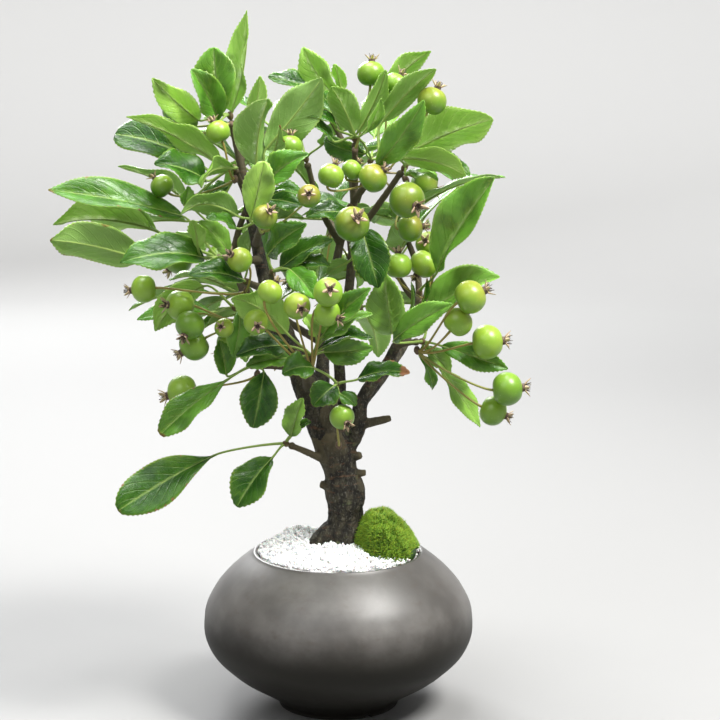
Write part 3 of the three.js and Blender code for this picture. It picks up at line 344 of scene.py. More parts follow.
class Graph:
    def __init__(self, name, paint):
        self.paint = paint
        self.material = bpy.data.materials.new(name)
        self.material.use_nodes = True
        self.tree = self.material.node_tree
        self.tree.nodes.clear()
        self.place = self.add("ShaderNodeTexCoord")["Object"]

    # kind of node, its settings, then the values or links of its sockets
    def add(self, kind, settings=None, sockets=None):
        node = self.tree.nodes.new(kind)
        for key, value in (settings or {}).items():
            setattr(node, key, value)
        for key, value in (sockets or {}).items():
            socket = node.inputs[key]
            if isinstance(value, Value):
                self.tree.links.new(value.socket, socket)
            elif isinstance(value, tuple) and socket.type == "RGBA":
                socket.default_value = (*value, 1)
            else:
                socket.default_value = value
        return Outputs(self, node)

    # a share of the second colour over the first, each a link or the name of a paint
    def mix(self, share, first, second):
        first, second = (self.paint[c] if isinstance(c, str) else c for c in (first, second))
        return self.add("ShaderNodeMix", {"data_type": "RGBA"}, {0: share, 6: first, 7: second})[2]

    def speckle(self, size, detail=2.0, roughness=0.5, seed=0.0, stretch=None):
        place = self.place
        if stretch:
            settings = {"operation": "MULTIPLY"}
            place = self.add("ShaderNodeVectorMath", settings, {0: place, 1: stretch})["Vector"]
        sockets = {"Vector": place, "W": seed, "Scale": 1 / (size * mm)}
        sockets |= {"Detail": detail, "Roughness": roughness}
        return self.add("ShaderNodeTexNoise", {"noise_dimensions": "4D"}, sockets)["Fac"]

    def cells(self, size, feature="F1", output="Distance"):
        sockets = {"Vector": self.place, "Scale": 1 / (size * mm)}
        return self.add("ShaderNodeTexVoronoi", {"feature": feature}, sockets)[output]

    def mark(self, name):
        read = self.add("ShaderNodeAttribute", {"attribute_name": name})
        parts = self.add("ShaderNodeSeparateColor", {}, {0: read["Color"]})
        return parts["Red"], parts["Green"], parts["Blue"], read["Alpha"]

    def bump(self, height, depth, strength=1.0):
        sockets = {"Height": height, "Distance": depth * mm, "Strength": strength}
        return self.add("ShaderNodeBump", {}, sockets)["Normal"]

    def finish(self, sockets):
        shader = self.add("ShaderNodeBsdfPrincipled", {}, sockets)["BSDF"]
        self.add("ShaderNodeOutputMaterial", {}, {"Surface": shader})
        return self.material


# the drawing, and paths through space

pitch = math.radians(drawing["pitchDegrees"])
aim = Vector(drawing["aim"])
sheetUp = Vector((0, math.sin(pitch), math.cos(pitch)))
sight = Vector((0, math.cos(pitch), -math.sin(pitch)))
eye = aim - sight * drawing["eyeDistance"]
up = Vector((0, 0, 1))


def placed(a, b, y):
    onSheet = aim + sheetUp * (b - drawing["middle"][1])
    onSheet.x += a - drawing["middle"][0]
    share = (y - eye.y) / (onSheet.y - eye.y)
    return eye + (onSheet - eye) * share, share


# Random draws that are the same each run. Each state is the last one times the first number,
# and stays under the second.
randomTimes, randomTop = 16807, 2147483647


def seededDraw(seed):
    state = [seed]

    def draw(low, high):
        state[0] = state[0] * randomTimes % randomTop
        return low + (high - low) * state[0] / randomTop

    return draw


# A smooth path through points that carry a radius, as (point, radius) pairs.
def smoothPath(points, spacing):
    spots = [Vector((*point, radius)) for point, radius in points]
    ends = [2 * spots[0] - spots[1], *spots, 2 * spots[-1] - spots[-2]]
    path = []
    for before, first, second, after in zip(ends, ends[1:], ends[2:], ends[3:]):
        knots = [0.0]
        for one, two in ((before, first), (first, second), (second, after)):
            knots.append(knots[-1] + math.sqrt(max((two.xyz - one.xyz).length, 1e-4)))
        count = max(1, round((second.xyz - first.xyz).length / spacing))
        for i in range(count):
            t = knots[1] + (knots[2] - knots[1]) * i / count
            a1 = before.lerp(first, t / knots[1])
            a2 = first.lerp(second, (t - knots[1]) / (knots[2] - knots[1]))
            a3 = second.lerp(after, (t - knots[2]) / (knots[3] - knots[2]))
            b1 = a1.lerp(a2, t / knots[2])
            b2 = a2.lerp(a3, (t - knots[1]) / (knots[3] - knots[1]))
            path.append(b1.lerp(b2, (t - knots[1]) / (knots[2] - knots[1])))
    path.append(spots[-1])
    return [(spot.xyz, spot.w) for spot in path]


def bezier(first, second, third, fourth, t):
    s = 1 - t
    return first * s**3 + second * (3 * s * s * t) + third * (3 * s * t * t) + fourth * t**3


# rows of points or marks, from parts that are arrays or single values
def rowsOf(*parts):
    return np.stack(np.broadcast_arrays(*parts), 1)


# the quads between rings of equally many points
def bands(rings, count):
    faces = []
    for i in range(rings - 1):
        low, high = i * count, (i + 1) * count
        for j in range(count):
            k = (j + 1) % count
            faces.append((low + j, low + k, high + k, high + j))
    return faces


# A mesh being made: points in millimetres, faces, and two marks for the materials.
# Tones and spots are a row for each point, or one row for all of them.
class Shape:
    def __init__(self):
        self.points = []
        self.faces = []
        self.tones = []
        self.spots = []
        self.count = 0

    def add(self, points, faces, tones, spots=(0, 0, 0, 0)):
        points = np.asarray(points, float).reshape(-1, 3)
        self.points.append(points)
        self.faces.extend([tuple(self.count + i for i in face) for face in faces])
        self.tones.append(np.broadcast_to(tones, (len(points), 4)))
        self.spots.append(np.broadcast_to(spots, (len(points), 4)))
        self.count += len(points)

    # a closed skin over rings of equally many points
    def skin(self, rings, tones, spots=(0, 0, 0, 0)):
        rings = np.asarray(rings)
        count = rings.shape[1]
        faces = bands(len(rings), count)
        last = (len(rings) - 1) * count
        faces.append(tuple(reversed(range(count))))
        faces.append(tuple(last + j for j in range(count)))
        self.add(rings, faces, tones, spots)

    # a round tube along points with radii
    def tube(self, path, sides, tone, spot=(0, 0, 0, 0)):
        rings = []
        along = (path[1][0] - path[0][0]).normalized()
        side = along.orthogonal().normalized()
        for i, (point, radius) in enumerate(path):
            following = path[min(i + 1, len(path) - 1)][0] - path[max(i - 1, 0)][0]
            following.normalize()
            side.rotate(along.rotation_difference(following))
            along = following
            other = along.cross(side)
            ring = []
            for j in range(sides):
                angle = 2 * math.pi * j / sides
                across = side * (radius * math.cos(angle))
                ring.append(point + across + other * (radius * math.sin(angle)))
            rings.append(ring)
        self.skin(rings, tone, spot)

    def bare(self, name):
        mesh = bpy.data.meshes.new(name)
        mesh.from_pydata((np.concatenate(self.points) * mm).tolist(), [], self.faces)
        outward(mesh)
        return mesh

    def made(self, name, node, material, smooth=True):
        mesh = self.bare(name)
        markPoints(mesh, "tone", np.concatenate(self.tones))
        markPoints(mesh, "spot", np.concatenate(self.spots))
        if smooth:
            mesh.shade_smooth()
        return pieceOf(name, mesh, node, material)


def markPoints(mesh, name, rows):
    layer = mesh.color_attributes.new(name, "FLOAT_COLOR", "POINT")
    layer.data.foreach_set("color", rows.astype(np.float32).ravel())


def outward(mesh):
    work = bmesh.new()
    work.from_mesh(mesh)
    bmesh.ops.recalc_face_normals(work, faces=work.faces)
    work.to_mesh(mesh)
    work.free()


def linked(name, data):
    thing = bpy.data.objects.new(name, data)
    bpy.context.scene.collection.objects.link(thing)
    return thing


def pieceOf(name, mesh, node, material):
    mesh.materials.append(material)
    piece = linked(name, mesh)
    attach(piece, "root")
    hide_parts(node)
    return piece


# spurs, leaves and fruits, set out as their solids are

# the buds that hold leaves and fruits on their twigs
knob = {"wood": 2.1, "crown": 1.8, "gap": 0.3}
petiole = {"half": 0.55, "reach": 7, "follow": 0.9}
blade = {"wave": 0.2, "beats": 1.3}
# where along a blade its solid has corners, and how wide one is that has only a few
blade |= {"stations": (0.16, 0.44, 0.76), "few": (0.28, 0.68), "small": 12}
fruitForm = {"long": 0.96, "sepal": 3.3, "probeLifts": (-8, 40), "probes": 10}
spurSeeds = {"first": 4801, "next": 97}
# a form stands where this share of its points is on the solid's corners, in millimetres
match = {"within": 0.03, "share": 0.4}
# what a leaf or fruit may have been bent by to keep clear of another piece
steps = [0] + [sign * step for step in range(4, 32, 4) for sign in (1, -1)]


# blunt 0 is the solid's own outline, and blunt 1 is widest past the middle and round at the tip
def outline(t, blunt=0):
    power = 0.55 + 0.3 * t + blunt * (0.3 - 0.65 * t)
    return math.sin(math.pi * t ** (0.93 + 0.5 * blunt)) ** power


def spurOf(twig):
    before, end = [placed(a, b, y)[0] for a, b, y, _ in twig[-2:]]
    out = (end - before).normalized()
    seat = knob["wood"] + knob["crown"] + knob["gap"]
    hang = -up + out * out.z
    if hang.length < 0.3:
        hang = Vector((0, -1, 0)) + out * out.y
    hang.normalize()
    crowns = {"leafCrown": end + out * seat, "fruitCrown": end + hang * seat}
    return {"end": end, "out": out, "hang": hang} | crowns


def leaving(start, to, out):
    return ((to - start).normalized() + out * petiole["follow"]).normalized()


def waves(draw):
    return {"twist": draw(-0.25, 0.25), "phases": (draw(0, 1), draw(0, 1))}


def makeLeaf(crown, start, base, tip, face, width, bow, fold, drawn):
    along = tip - base
    length = along.length
    along.normalize()
    normal = (face - along * face.dot(along)).normalized()
    leaf = {"crown": crown, "start": start, "base": base, "tip": tip, "along": along}
    leaf |= {"normal": normal, "length": length, "width": width, "bow": bow, "fold": fold}
    return leaf | drawn


def frontLeaf(spur, row, draw):
    a0, b0, y0, a1, b1, y1, width, turn, bow, fold = row
    drawn = waves(draw)

    def at(step):
        base = placed(a0, b0, y0 + step / 2)[0]
        tip = placed(a1, b1, y1 + step)[0]
        along = (tip - base).normalized()
        toEye = (eye - base).normalized()
        front = (toEye - along * toEye.dot(along)).normalized()
        edge = along.cross(front)
        if (edge.x if abs(edge.x) > abs(edge.z) else edge.z) < 0:
            edge.negate()
        face = front * math.cos(math.radians(turn)) + edge * math.sin(math.radians(turn))
        crown = spur["leafCrown"]
        start = leaving(crown, base, spur["out"])
        return makeLeaf(crown, start, base, tip, face, width, bow, math.radians(fold), drawn)

    return at


def makeFruit(spur, start, centre, axis, radius):
    fruit = {"crown": spur["fruitCrown"], "start": start, "centre": centre}
    return fruit | {"axis": axis, "radius": radius}


def frontFruit(spur, row):
    a, b, y, radius, calyxA, calyxB = row

    def at(step):
        centre, share = placed(a, b, y + step)
        across = (calyxA - a) / radius
        rise = (calyxB - b) / radius
        towards = math.sqrt(max(0, 1 - across * across - rise * rise))
        axis = (Vector((across, 0, 0)) + sheetUp * rise - sight * towards).normalized()
        start = leaving(spur["fruitCrown"], centre, spur["hang"])
        return makeFruit(spur, start, centre, axis, radius * share)

    return at


def around(out, spin, lean):
    side = Vector((1, 0, 0)).cross(out).normalized()
    return Quaternion(out, spin) @ (Quaternion(side, lean) @ out)


def whorlLeaf(spur, order, draw):
    drawn = waves(draw)
    lean = math.radians(draw(*whorl["lean"]))
    stem = draw(*whorl["petiole"])
    length = draw(*whorl["blade"])
    width = draw(*whorl["width"])

    def at(step):
        out = around(spur["out"], order * whorl["turn"] + math.radians(step), lean)
        crown = spur["leafCrown"]
        base = crown + out * stem
        tip = base + (out - up * whorl["droop"]).normalized() * length
        start = (out + spur["out"] * whorl["follow"]).normalized()
        face = spur["out"] * 0.5 + up
        return makeLeaf(crown, start, base, tip, face, width, whorl["bow"], whorl["fold"], drawn)

    return at


def whorlFruit(spur, order, draw):
    length = draw(*whorl["stalk"])
    radius = draw(*whorl["fruitRadius"])

    def at(step):
        spin = order * whorl["turn"] + math.radians(step)
        out = around(spur["hang"], spin, whorl["fruitLean"])
        centre = spur["fruitCrown"] + out * length
        start = (out + spur["hang"] * whorl["follow"]).normalized()
        return makeFruit(spur, start, centre, (out - up * whorl["fruitDroop"]).normalized(), radius)

    return at


def bladeFrame(leaf, t):
    slope = 4 * leaf["bow"] * (1 - 2 * t) / leaf["length"]
    point = leaf["base"].lerp(leaf["tip"], t) + leaf["normal"] * (4 * leaf["bow"] * t * (1 - t))
    along = (leaf["along"] + leaf["normal"] * slope).normalized()
    normal = (leaf["normal"] - leaf["along"] * slope).normalized()
    normal = Quaternion(along, leaf["twist"] * (t - 0.4)) @ normal
    return point, along, normal, along.cross(normal)


def foldAt(leaf, t, hand):
    beat = 2 * math.pi * (blade["beats"] * t + leaf["phases"][hand])
    return leaf["fold"] + blade["wave"] * math.sin(beat)


# points of the solid leaf that tell at which step it stands
def leafProbes(leaf):
    probes = [leaf["tip"]]
    for t in blade["few"] if leaf["width"] < blade["small"] else blade["stations"]:
        point, _, normal, side = bladeFrame(leaf, t)
        half = leaf["width"] / 2 * outline(t)
        for sign, hand in ((1, 0), (-1, 1)):
            fold = foldAt(leaf, t, hand)
            across = side * (sign * half * math.cos(fold))
            probes.append(point + across + normal * (half * math.sin(fold)))
    return probes


def fruitSides(axis):
    side = Vector((1, 0, 0)).cross(axis).normalized()
    return side, axis.cross(side)


def fruitProbes(fruit):
    side, other = fruitSides(fruit["axis"])
    radius = fruit["radius"]
    probes = []
    for lift in fruitForm["probeLifts"]:
        height = radius * fruitForm["long"] * math.sin(math.radians(lift))
        width = radius * math.cos(math.radians(lift))
        for j in range(fruitForm["probes"]):
            angle = 2 * math.pi * j / fruitForm["probes"]
            offset = side * math.cos(angle) + other * math.sin(angle)
            probes.append(fruit["centre"] + fruit["axis"] * height + offset * width)
    return probes


def treeOf(points):
    tree = kdtree.KDTree(len(points))
    for i, point in enumerate(points):
        tree.insert(point, i)
    tree.balance()
    return tree


# Each leaf or fruit as it stands in the node's solid. One whose points aren't there was left out.
def standing(node, makers, probesOf):
    corners = treeOf([vertex.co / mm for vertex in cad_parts[node].data.vertices])
    found = []
    for maker in makers:
        best = None
        for step in steps:
            form = maker(step)
            probes = probesOf(form)
            share = sum(corners.find(probe)[2] < match["within"] for probe in probes) / len(probes)
            if share > match["share"] and (best is None or share > best[0]):
                best = (share, form)
        found.append(best[1] if best else None)
    return found


spurs = []
for order, (name, spur) in enumerate({**frontSpurs, **backSpurs}.items()):
    draw = seededDraw(spurSeeds["first"] + spurSeeds["next"] * order)
    twig, leaves, fruits = spur
    place = spurOf(twig)
    if name in backSpurs:
        leafMakers = [whorlLeaf(place, i, draw) for i in range(leaves)]
        fruitMakers = [whorlFruit(place, i, draw) for i in range(fruits)]
    else:
        leafMakers = [frontLeaf(place, row, draw) for row in leaves]
        fruitMakers = [frontFruit(place, row) for row in fruits]
    spur = {"name": name, "twig": twig, "place": place}
    spurs.append(spur | {"leaves": leafMakers, "fruits": fruitMakers})

# leaves

leafCut = {
    "seed": 9091,
    "toothPitch": 1.9,  # millimetres of margin to a tooth
    "toothDepth": 0.38,
    "toothLean": 0.45,  # how far a tooth leans to the tip, in tooth pitches
    "columns": 12,
    "gather": 0.9,  # under 1, the columns stand closer at the margin
    "thick": 0.34,
    "thinning": 0.55,  # share of the thickness that is gone at the margin
    "veins": 7.5,  # side veins along each half
    "veinSweep": 2.6,  # how far forward a side vein runs, in vein pitches
    "veinWidth": 0.16,
    "veinDepth": 0.3,
    "groove": 0.3,
    "grooveBelow": 0.1,
    "grooveWidth": 0.8,
    "bulge": 0.75,
    "ripple": 0.8,
    "fullHalf": 6,  # half a blade this wide has veins and ripples at their full depth
}
stalkCut = {"sides": 7, "spacing": 2.5, "radius": 0.56, "flare": 0.35}
stalkCut |= {"ribPoints": 13, "ribEnd": 0.94}
budCut = {"sides": 10, "rings": 9, "long": 2.4, "wide": 0.92}
leafPaint = {
    "dark": (0.004, 0.034, 0.001),
    "fresh": (0.105, 0.300, 0.024),
    "young": (0.320, 0.520, 0.095),
    "under": (0.140, 0.235, 0.062),
    "vein": (0.240, 0.380, 0.075),
    "margin": (0.220, 0.340, 0.045),
    "brown": (0.150, 0.058, 0.020),
    "petiole": (0.230, 0.330, 0.075),
    "bud": (0.120, 0.085, 0.040),
}


def leafMaterial():
    g = Graph("leaf", leafPaint)
    under, stem, shade, youth = g.mark("tone")
    across, along, brown, seed = g.mark("spot")
    u = abs(across * 2 - 1)
    sideVein = along * leafCut["veins"] - u * leafCut["veinSweep"]
    onVein = 1 - sideVein.pingpong(0.5).step(0.015, 0.11)
    midrib = 1 - u.step(0.02, 0.085)
    patches = g.speckle(7, 3, 0.55)
    grain = g.speckle(0.8, 2, 0.6)
    net = 1 - g.cells(1.15, "DISTANCE_TO_EDGE").step(0.0, 0.16)
    top = g.mix(shade, "dark", "fresh")
    top = g.mix(((patches - 0.42) * 0.8 + grain * 0.08).held(), top, "fresh")
    top = g.mix(youth, top, "young")
    # painted shadow: broad dark blots over the leaves' tops, where other leaves would cast shadows
    paintedShadowBlots = g.speckle(13, 2, 0.5, seed=2.0)
    top = g.mix((1 - paintedShadowBlots.step(0.38, 0.56)) * 0.6, top, "dark")
    top = g.mix((u * u * patches * 0.35).held(), top, "fresh")
    below = g.mix(youth * 0.6 + grain * 0.15, "under", "young")
    below = g.mix(patches * 0.3, below, "fresh")
    skin = g.mix(under, top, below)
    veining = (onVein * (0.09 - u * 0.05)).most(midrib * 0.4) + net * 0.03
    skin = g.mix((veining * (1 + under * 0.6)).held(), skin, "vein")
    skin = g.mix(u.step(0.9, 1.0) * 0.5, skin, "margin")
    blotch = g.speckle(3.2, 2, 0.5, seed=4.0)
    burn = (along + (blotch - 0.5) * 0.16 + brown * 0.22).step(1.03, 1.09)
    burn = burn.most((blotch * u).step(0.57, 0.6) * brown.step(0.15, 0.3)).held()
    skin = g.mix(burn * (1 - stem), skin, "brown")
    stalk = g.mix(seed.step(0.97, 0.99), "petiole", "bud")
    colour = g.mix(stem, skin, stalk)
    rough = 0.16 + patches * 0.08 + under * 0.27 + stem * 0.15
    rough = rough + veining * 0.12 + grain * 0.08 + burn * 0.3
    height = (net * 0.25 + onVein * 0.8 + midrib) * (under * 2 - 1) + grain * 0.35
    return g.finish({
        "Base Color": colour,
        "Roughness": rough,
        "Normal": g.bump(height * (1 - stem), 0.2, 0.85),
        "Subsurface Weight": 0.35,
        "Subsurface Radius": (0.9, 1.0, 0.7),
        "Subsurface Scale": 1.4 * mm,
        "Specular IOR Level": 0.32,
    })


def addLeaf(shape, leaf, look):
    teeth = max(7, round(leaf["length"] / leafCut["toothPitch"]))
    count = 2 * teeth
    columns = leafCut["columns"]
    u = np.linspace(-1, 1, columns + 1)
    u = np.sign(u) * np.abs(u) ** leafCut["gather"]
    flat = np.abs(u)
    margin = flat > 0.999
    rings = []
    spots = []
    tones = []
    for i in range(count + 1):
        t = i / count
        odd = i % 2
        reach = min(1, t + (leafCut["toothLean"] / count if odd else 0))
        point, along, normal, side = bladeFrame(leaf, t)
        half = leaf["width"] / 2 * look["slim"] * outline(t, look["blunt"])
        half = max(half, petiole["half"] * (1 - t) + 0.12)
        tooth = leafCut["toothDepth"] * min(1, 5 * t) * min(1, 8 * (1 - t)) * (odd - 0.4)
        fold = np.where(u > 0, foldAt(leaf, t, 0), foldAt(leaf, t, 1))
        x = u * half * np.cos(fold) + np.sign(u) * tooth * margin
        z = flat * half * np.sin(fold)
        size = min(1, half / leafCut["fullHalf"])
        z = z + leafCut["bulge"] * size * (1 - (2 * flat - 1) ** 2)
        beat = 2 * math.pi * (look["beats"] * t + np.where(u > 0, *look["ripple"]))
        z = z + leafCut["ripple"] * size * flat**2 * np.sin(beat)
        q = t * leafCut["veins"] - flat * leafCut["veinSweep"]
        vein = np.exp(-((np.abs(q - np.round(q)) / leafCut["veinWidth"]) ** 2))
        vein = vein * (1 - 0.6 * flat) * size
        vein[flat > 0.95] = 0
        groove = np.exp(-((u * half / leafCut["grooveWidth"]) ** 2)) * size
        thick = leafCut["thick"] * (1 - leafCut["thinning"] * flat**4)
        above = z + thick / 2 - leafCut["veinDepth"] * vein - leafCut["groove"] * groove
        below = z - thick / 2 - leafCut["veinDepth"] * vein - leafCut["grooveBelow"] * groove
        forward = (reach - t) * leaf["length"] * margin
        point, along, normal, side = (np.array(v) for v in (point, along, normal, side))
        upper = point + x[:, None] * side + above[:, None] * normal + forward[:, None] * along
        lower = point + x[:, None] * side + below[:, None] * normal + forward[:, None] * along
        rings.append(np.concatenate([upper, lower[::-1]]))
        across = np.concatenate([u, u[::-1]]) * 0.5 + 0.5
        spots.append(rowsOf(across, t, look["brown"], look["seed"]))
        under = np.repeat((0, 1), columns + 1)
        tones.append(rowsOf(under, 0, look["shade"], look["youth"]))
    shape.skin(rings, np.concatenate(tones), np.concatenate(spots))


# the leaf stalk, which runs on under the blade as its midrib
def addPetiole(shape, leaf, look):
    _, along, _, _ = bladeFrame(leaf, 0)
    crown, base = leaf["crown"], leaf["base"]
    length = (crown - base).length
    reach = min(petiole["reach"], length / 3)
    handles = (crown, crown + leaf["start"] * reach, base - along * reach, base)
    path = []
    count = max(5, round(length / stalkCut["spacing"]))
    for i in range(count):
        t = i / count
        path.append((bezier(*handles, t), stalkCut["radius"] + stalkCut["flare"] * (1 - t) ** 4))
    for i in range(stalkCut["ribPoints"]):
        t = stalkCut["ribEnd"] * i / (stalkCut["ribPoints"] - 1)
        point, _, normal, _ = bladeFrame(leaf, t)
        radius = petiole["half"] * (1 - t) + 0.1
        sunk = normal * (leafCut["groove"] + 0.5 * radius) * min(1, 0.25 + 3 * t)
        path.append((point - sunk, radius))
    tone = (1.0, 1.0, look["shade"], look["youth"])
    shape.tube(path, stalkCut["sides"], tone, (0.5, 0.3, 0.0, look["seed"]))


def addBud(shape, centre, towards):
    away = (centre - towards).normalized()
    path = []
    length = knob["crown"] * budCut["long"]
    for i in range(budCut["rings"]):
        t = i / (budCut["rings"] - 1)
        swell = math.sin(math.pi * (0.08 + 0.87 * t)) ** 0.7
        path.append((centre + away * (length * (t - 0.52)), knob["crown"] * budCut["wide"] * swell))
    shape.tube(path, budCut["sides"], (1.0, 1.0, 0.8, 0.2), (0.5, 0.5, 0.0, 1.0))


# leaves in order on their spurs: how fresh a green, how young, how brown at the tip. These greens
# are partly each leaf's own colour and partly painted light and shade: lighter and yellower on
# leaves that stand in light and on leaves lit from behind, darker on leaves that hang in shade
leafLooks = {
    "crown_left": [(1.0, 0.7), (0.6, 0.1), (0.55, 0.05), (1.0, 1.0)],
    "shoulder_left": [(0.7, 1.0), (0.0, 0), (0.0, 0), (0.9, 0.2), (0.4, 0.6), (0.2, 0)],
    "crown_middle_left": [(0.1, 0), (0.2, 0), (1.0, 1.0), (0.2, 0.2, 0.5)],
    "crown_back_left": [(0.0, 0), (1.0, 0.7), (1.0, 1.0), (0.3, 0)],
    "crown_middle": [(1.0, 0.6), (0.8, 0.3), (1.0, 0.5), (0.0, 0), (0.2, 0), (0.3, 0)],
    "crown_right": [(0.6, 0.1), (0.8, 0.3), (1.0, 0.7)],
    "shoulder_right": [(1.0, 0.4), (0.9, 1.0), (0.9, 1.0), (0.4, 0)],
    "right_upper": [(0.6, 0.1)],
    "right_middle": [(1.0, 0.6), (0.2, 0), (0.2, 0, 0.5)],
    "right_low": [(0.8, 0.3), (0.8, 0.2), (0.45, 0), (0.8, 0.1), (1.0, 0.8), (1.0, 0.7)],
    "middle_low": [(1.0, 1.0), (0.9, 0.8), (0.7, 0.1), (0.9, 0.3), (0.0, 0), (0.0, 0), (0.5, 0.1),
                   (0.9, 0.2)],
    "low_left": [(0.05, 0, 0.3), (0.1, 0), (1.0, 0.6), (0.2, 0)],
    "middle_twig": [(0.0, 0), (0.3, 0), (0.0, 0, 1.0), (0.25, 0)],
    "left_low": [(0.0, 0, 0.35), (0.7, 0.1, 0.4), (0.5, 0)],
    "left_twig": [(0.9, 1.0), (0.7, 0), (0.7, 0.1)],
    "left_front": [(0.0, 0)],
    "left_middle": [(0.4, 0, 0.35), (1.0, 1.0), (1.0, 0.6), (0.5, 0.1, 0.25), (0.1, 0), (0.9, 1.0),
                    (1.0, 0.5)],
    "middle_front": [(0.9, 1.0), (0.6, 0), (0.3, 0), (0.0, 0), (0.25, 0), (0.3, 0)],
    "middle_right": [(0.1, 0), (0.0, 0), (0.6, 0.1)],
    "middle_left": [(0.25, 0), (0.05, 0), (0.2, 0), (0.9, 0)],
}

# blades that differ from the common outline: how blunt, and what share of the width
bladeLooks = {
    "crown_left": {0: (-0.3, 0.85), 1: (0.5, 0.82), 2: (0.3, 0.85), 3: (0.0, 0.85)},
    "shoulder_left": {1: (1.0, 0.95)},
    "low_left": {0: (1.0, 0.95), 1: (0.4, 1.0)},
    "left_low": {0: (0.4, 1.0), 1: (0.9, 0.95)},
    "middle_front": {0: (1.0, 1.0)},
    "right_upper": {0: (0.4, 0.95)},
}

leafSkin = leafMaterial()
leafDraw = seededDraw(leafCut["seed"])
leafCount = 0
for spur in spurs:
    if not spur["leaves"]:
        continue
    node = "leaves_" + spur["name"]
    shape = Shape()
    addBud(shape, spur["place"]["leafCrown"], spur["place"]["end"])
    for order, leaf in enumerate(standing(node, spur["leaves"], leafProbes)):
        shade = leafDraw(0.05, 0.75)
        youth = max(0, leafDraw(-0.6, 0.45))
        ripple = (leafDraw(0, 1), leafDraw(0, 1))
        beats = leafDraw(1.6, 2.8)
        seed = leafDraw(0, 0.9)
        brown = max(0, leafDraw(-0.9, 0.35))
        if leaf is None:
            continue
        # listed greens, partly painted light and shade, replace the drawn ones
        if spur["name"] in leafLooks:
            shade, youth, brown = (*leafLooks[spur["name"]][order], 0)[:3]
        look = {"shade": shade, "youth": youth, "brown": brown, "seed": seed}
        look |= {"ripple": ripple, "beats": beats}
        look["blunt"], look["slim"] = bladeLooks.get(spur["name"], {}).get(order, (0, 1))
        addLeaf(shape, leaf, look)
        addPetiole(shape, leaf, look)
        leafCount += 1
    shape.made("foliage_" + spur["name"], node, leafSkin)
print("leaves made:", leafCount)

# fruits

fruitCut = {
    "seed": 6067,
    "around": 28,
    "rows": 20,
    "poles": 0.985,  # how near the first and last rings come to the poles
    "plump": 1.06,
    "lobes": 0.108,
    "flowerDent": 0.35,  # both dents in flower sizes
    "stalkDent": 0.9,
    "calyx": 7,  # how many times the flower's size goes into the fruit's radius
    "calyxGrowth": 1.4,
}
fruitStalk = {"sides": 8, "points": 15, "radius": 0.52, "flare": 0.3, "swell": 0.25, "from": 0.75}
sepalCut = {"count": 5, "rings": 6, "seat": 0.9, "climb": 1.5, "wide": 0.75, "thick": 0.16}
sepalCut |= {"jitter": (-0.15, 0.15), "curl": (-0.5, 0.9), "reach": (0.8, 1.0), "pale": 0.45}
stamenCut = {"count": 12, "radius": 0.13, "turn": 2.4, "out": 0.55, "up": 0.2}
stamenCut |= {"spread": (0.1, 0.9), "long": (1.3, 2.4), "bend": (-0.3, 0.3)}
fruitPaint = {
    "skin": (0.085, 0.205, 0.012),
    "light": (0.290, 0.470, 0.045),
    "blush": (0.400, 0.170, 0.040),
    "dot": (0.500, 0.640, 0.190),
    "stalk": (0.170, 0.230, 0.045),
    "calyx": (0.030, 0.017, 0.012),
    "sepal": (0.560, 0.400, 0.270),
}


def fruitMaterial():
    g = Graph("fruit", fruitPaint)
    dry, stalk, tip, blush = g.mark("tone")
    _, along, _, seed = g.mark("spot")
    patches = g.speckle(9, 3, 0.5)
    grain = g.speckle(0.7, 2, 0.6)
    dots = (1 - g.cells(1.7).step(0.07, 0.17)) * (1 - along * 0.3)
    # the third tone mark pales the skin towards a fruit's top: painted light above and painted
    # shade below, partly the paler skin of a real sun side. On the calyx it sets how dark each part
    # stays
    pale = (patches - 0.4) * 0.7 + seed * 0.6 + (tip - 0.5) * 0.6
    skin = g.mix(pale.held(), "skin", "light")
    warm = (blush * (along * 0.7 + tip * 0.8 + patches * 1.2 - 1.15)).held()
    skin = g.mix(warm, skin, "blush")
    skin = g.mix(dots * 0.35, skin, "dot")
    stem = g.mix(grain * 0.3 + seed * 0.25, "stalk", "blush")
    bleached = ((1 - tip) * 0.9 + (grain - 0.5) * 0.5).held()
    crisp = g.mix(bleached, "calyx", "sepal")
    colour = g.mix(dry, g.mix(stalk, skin, stem), crisp)
    return g.finish({
        "Base Color": colour,
        "Roughness": 0.3 + grain * 0.08 + dry * 0.45 + stalk * 0.2 + dots * 0.08,
        "Normal": g.bump(grain * 0.5 - dots * 0.3, 0.06, 0.5),
        "Subsurface Weight": 0.15,
        "Subsurface Radius": (0.6, 1.0, 0.25),
        "Subsurface Scale": 2.5 * mm,
        "Coat Roughness": 0.2,
    })


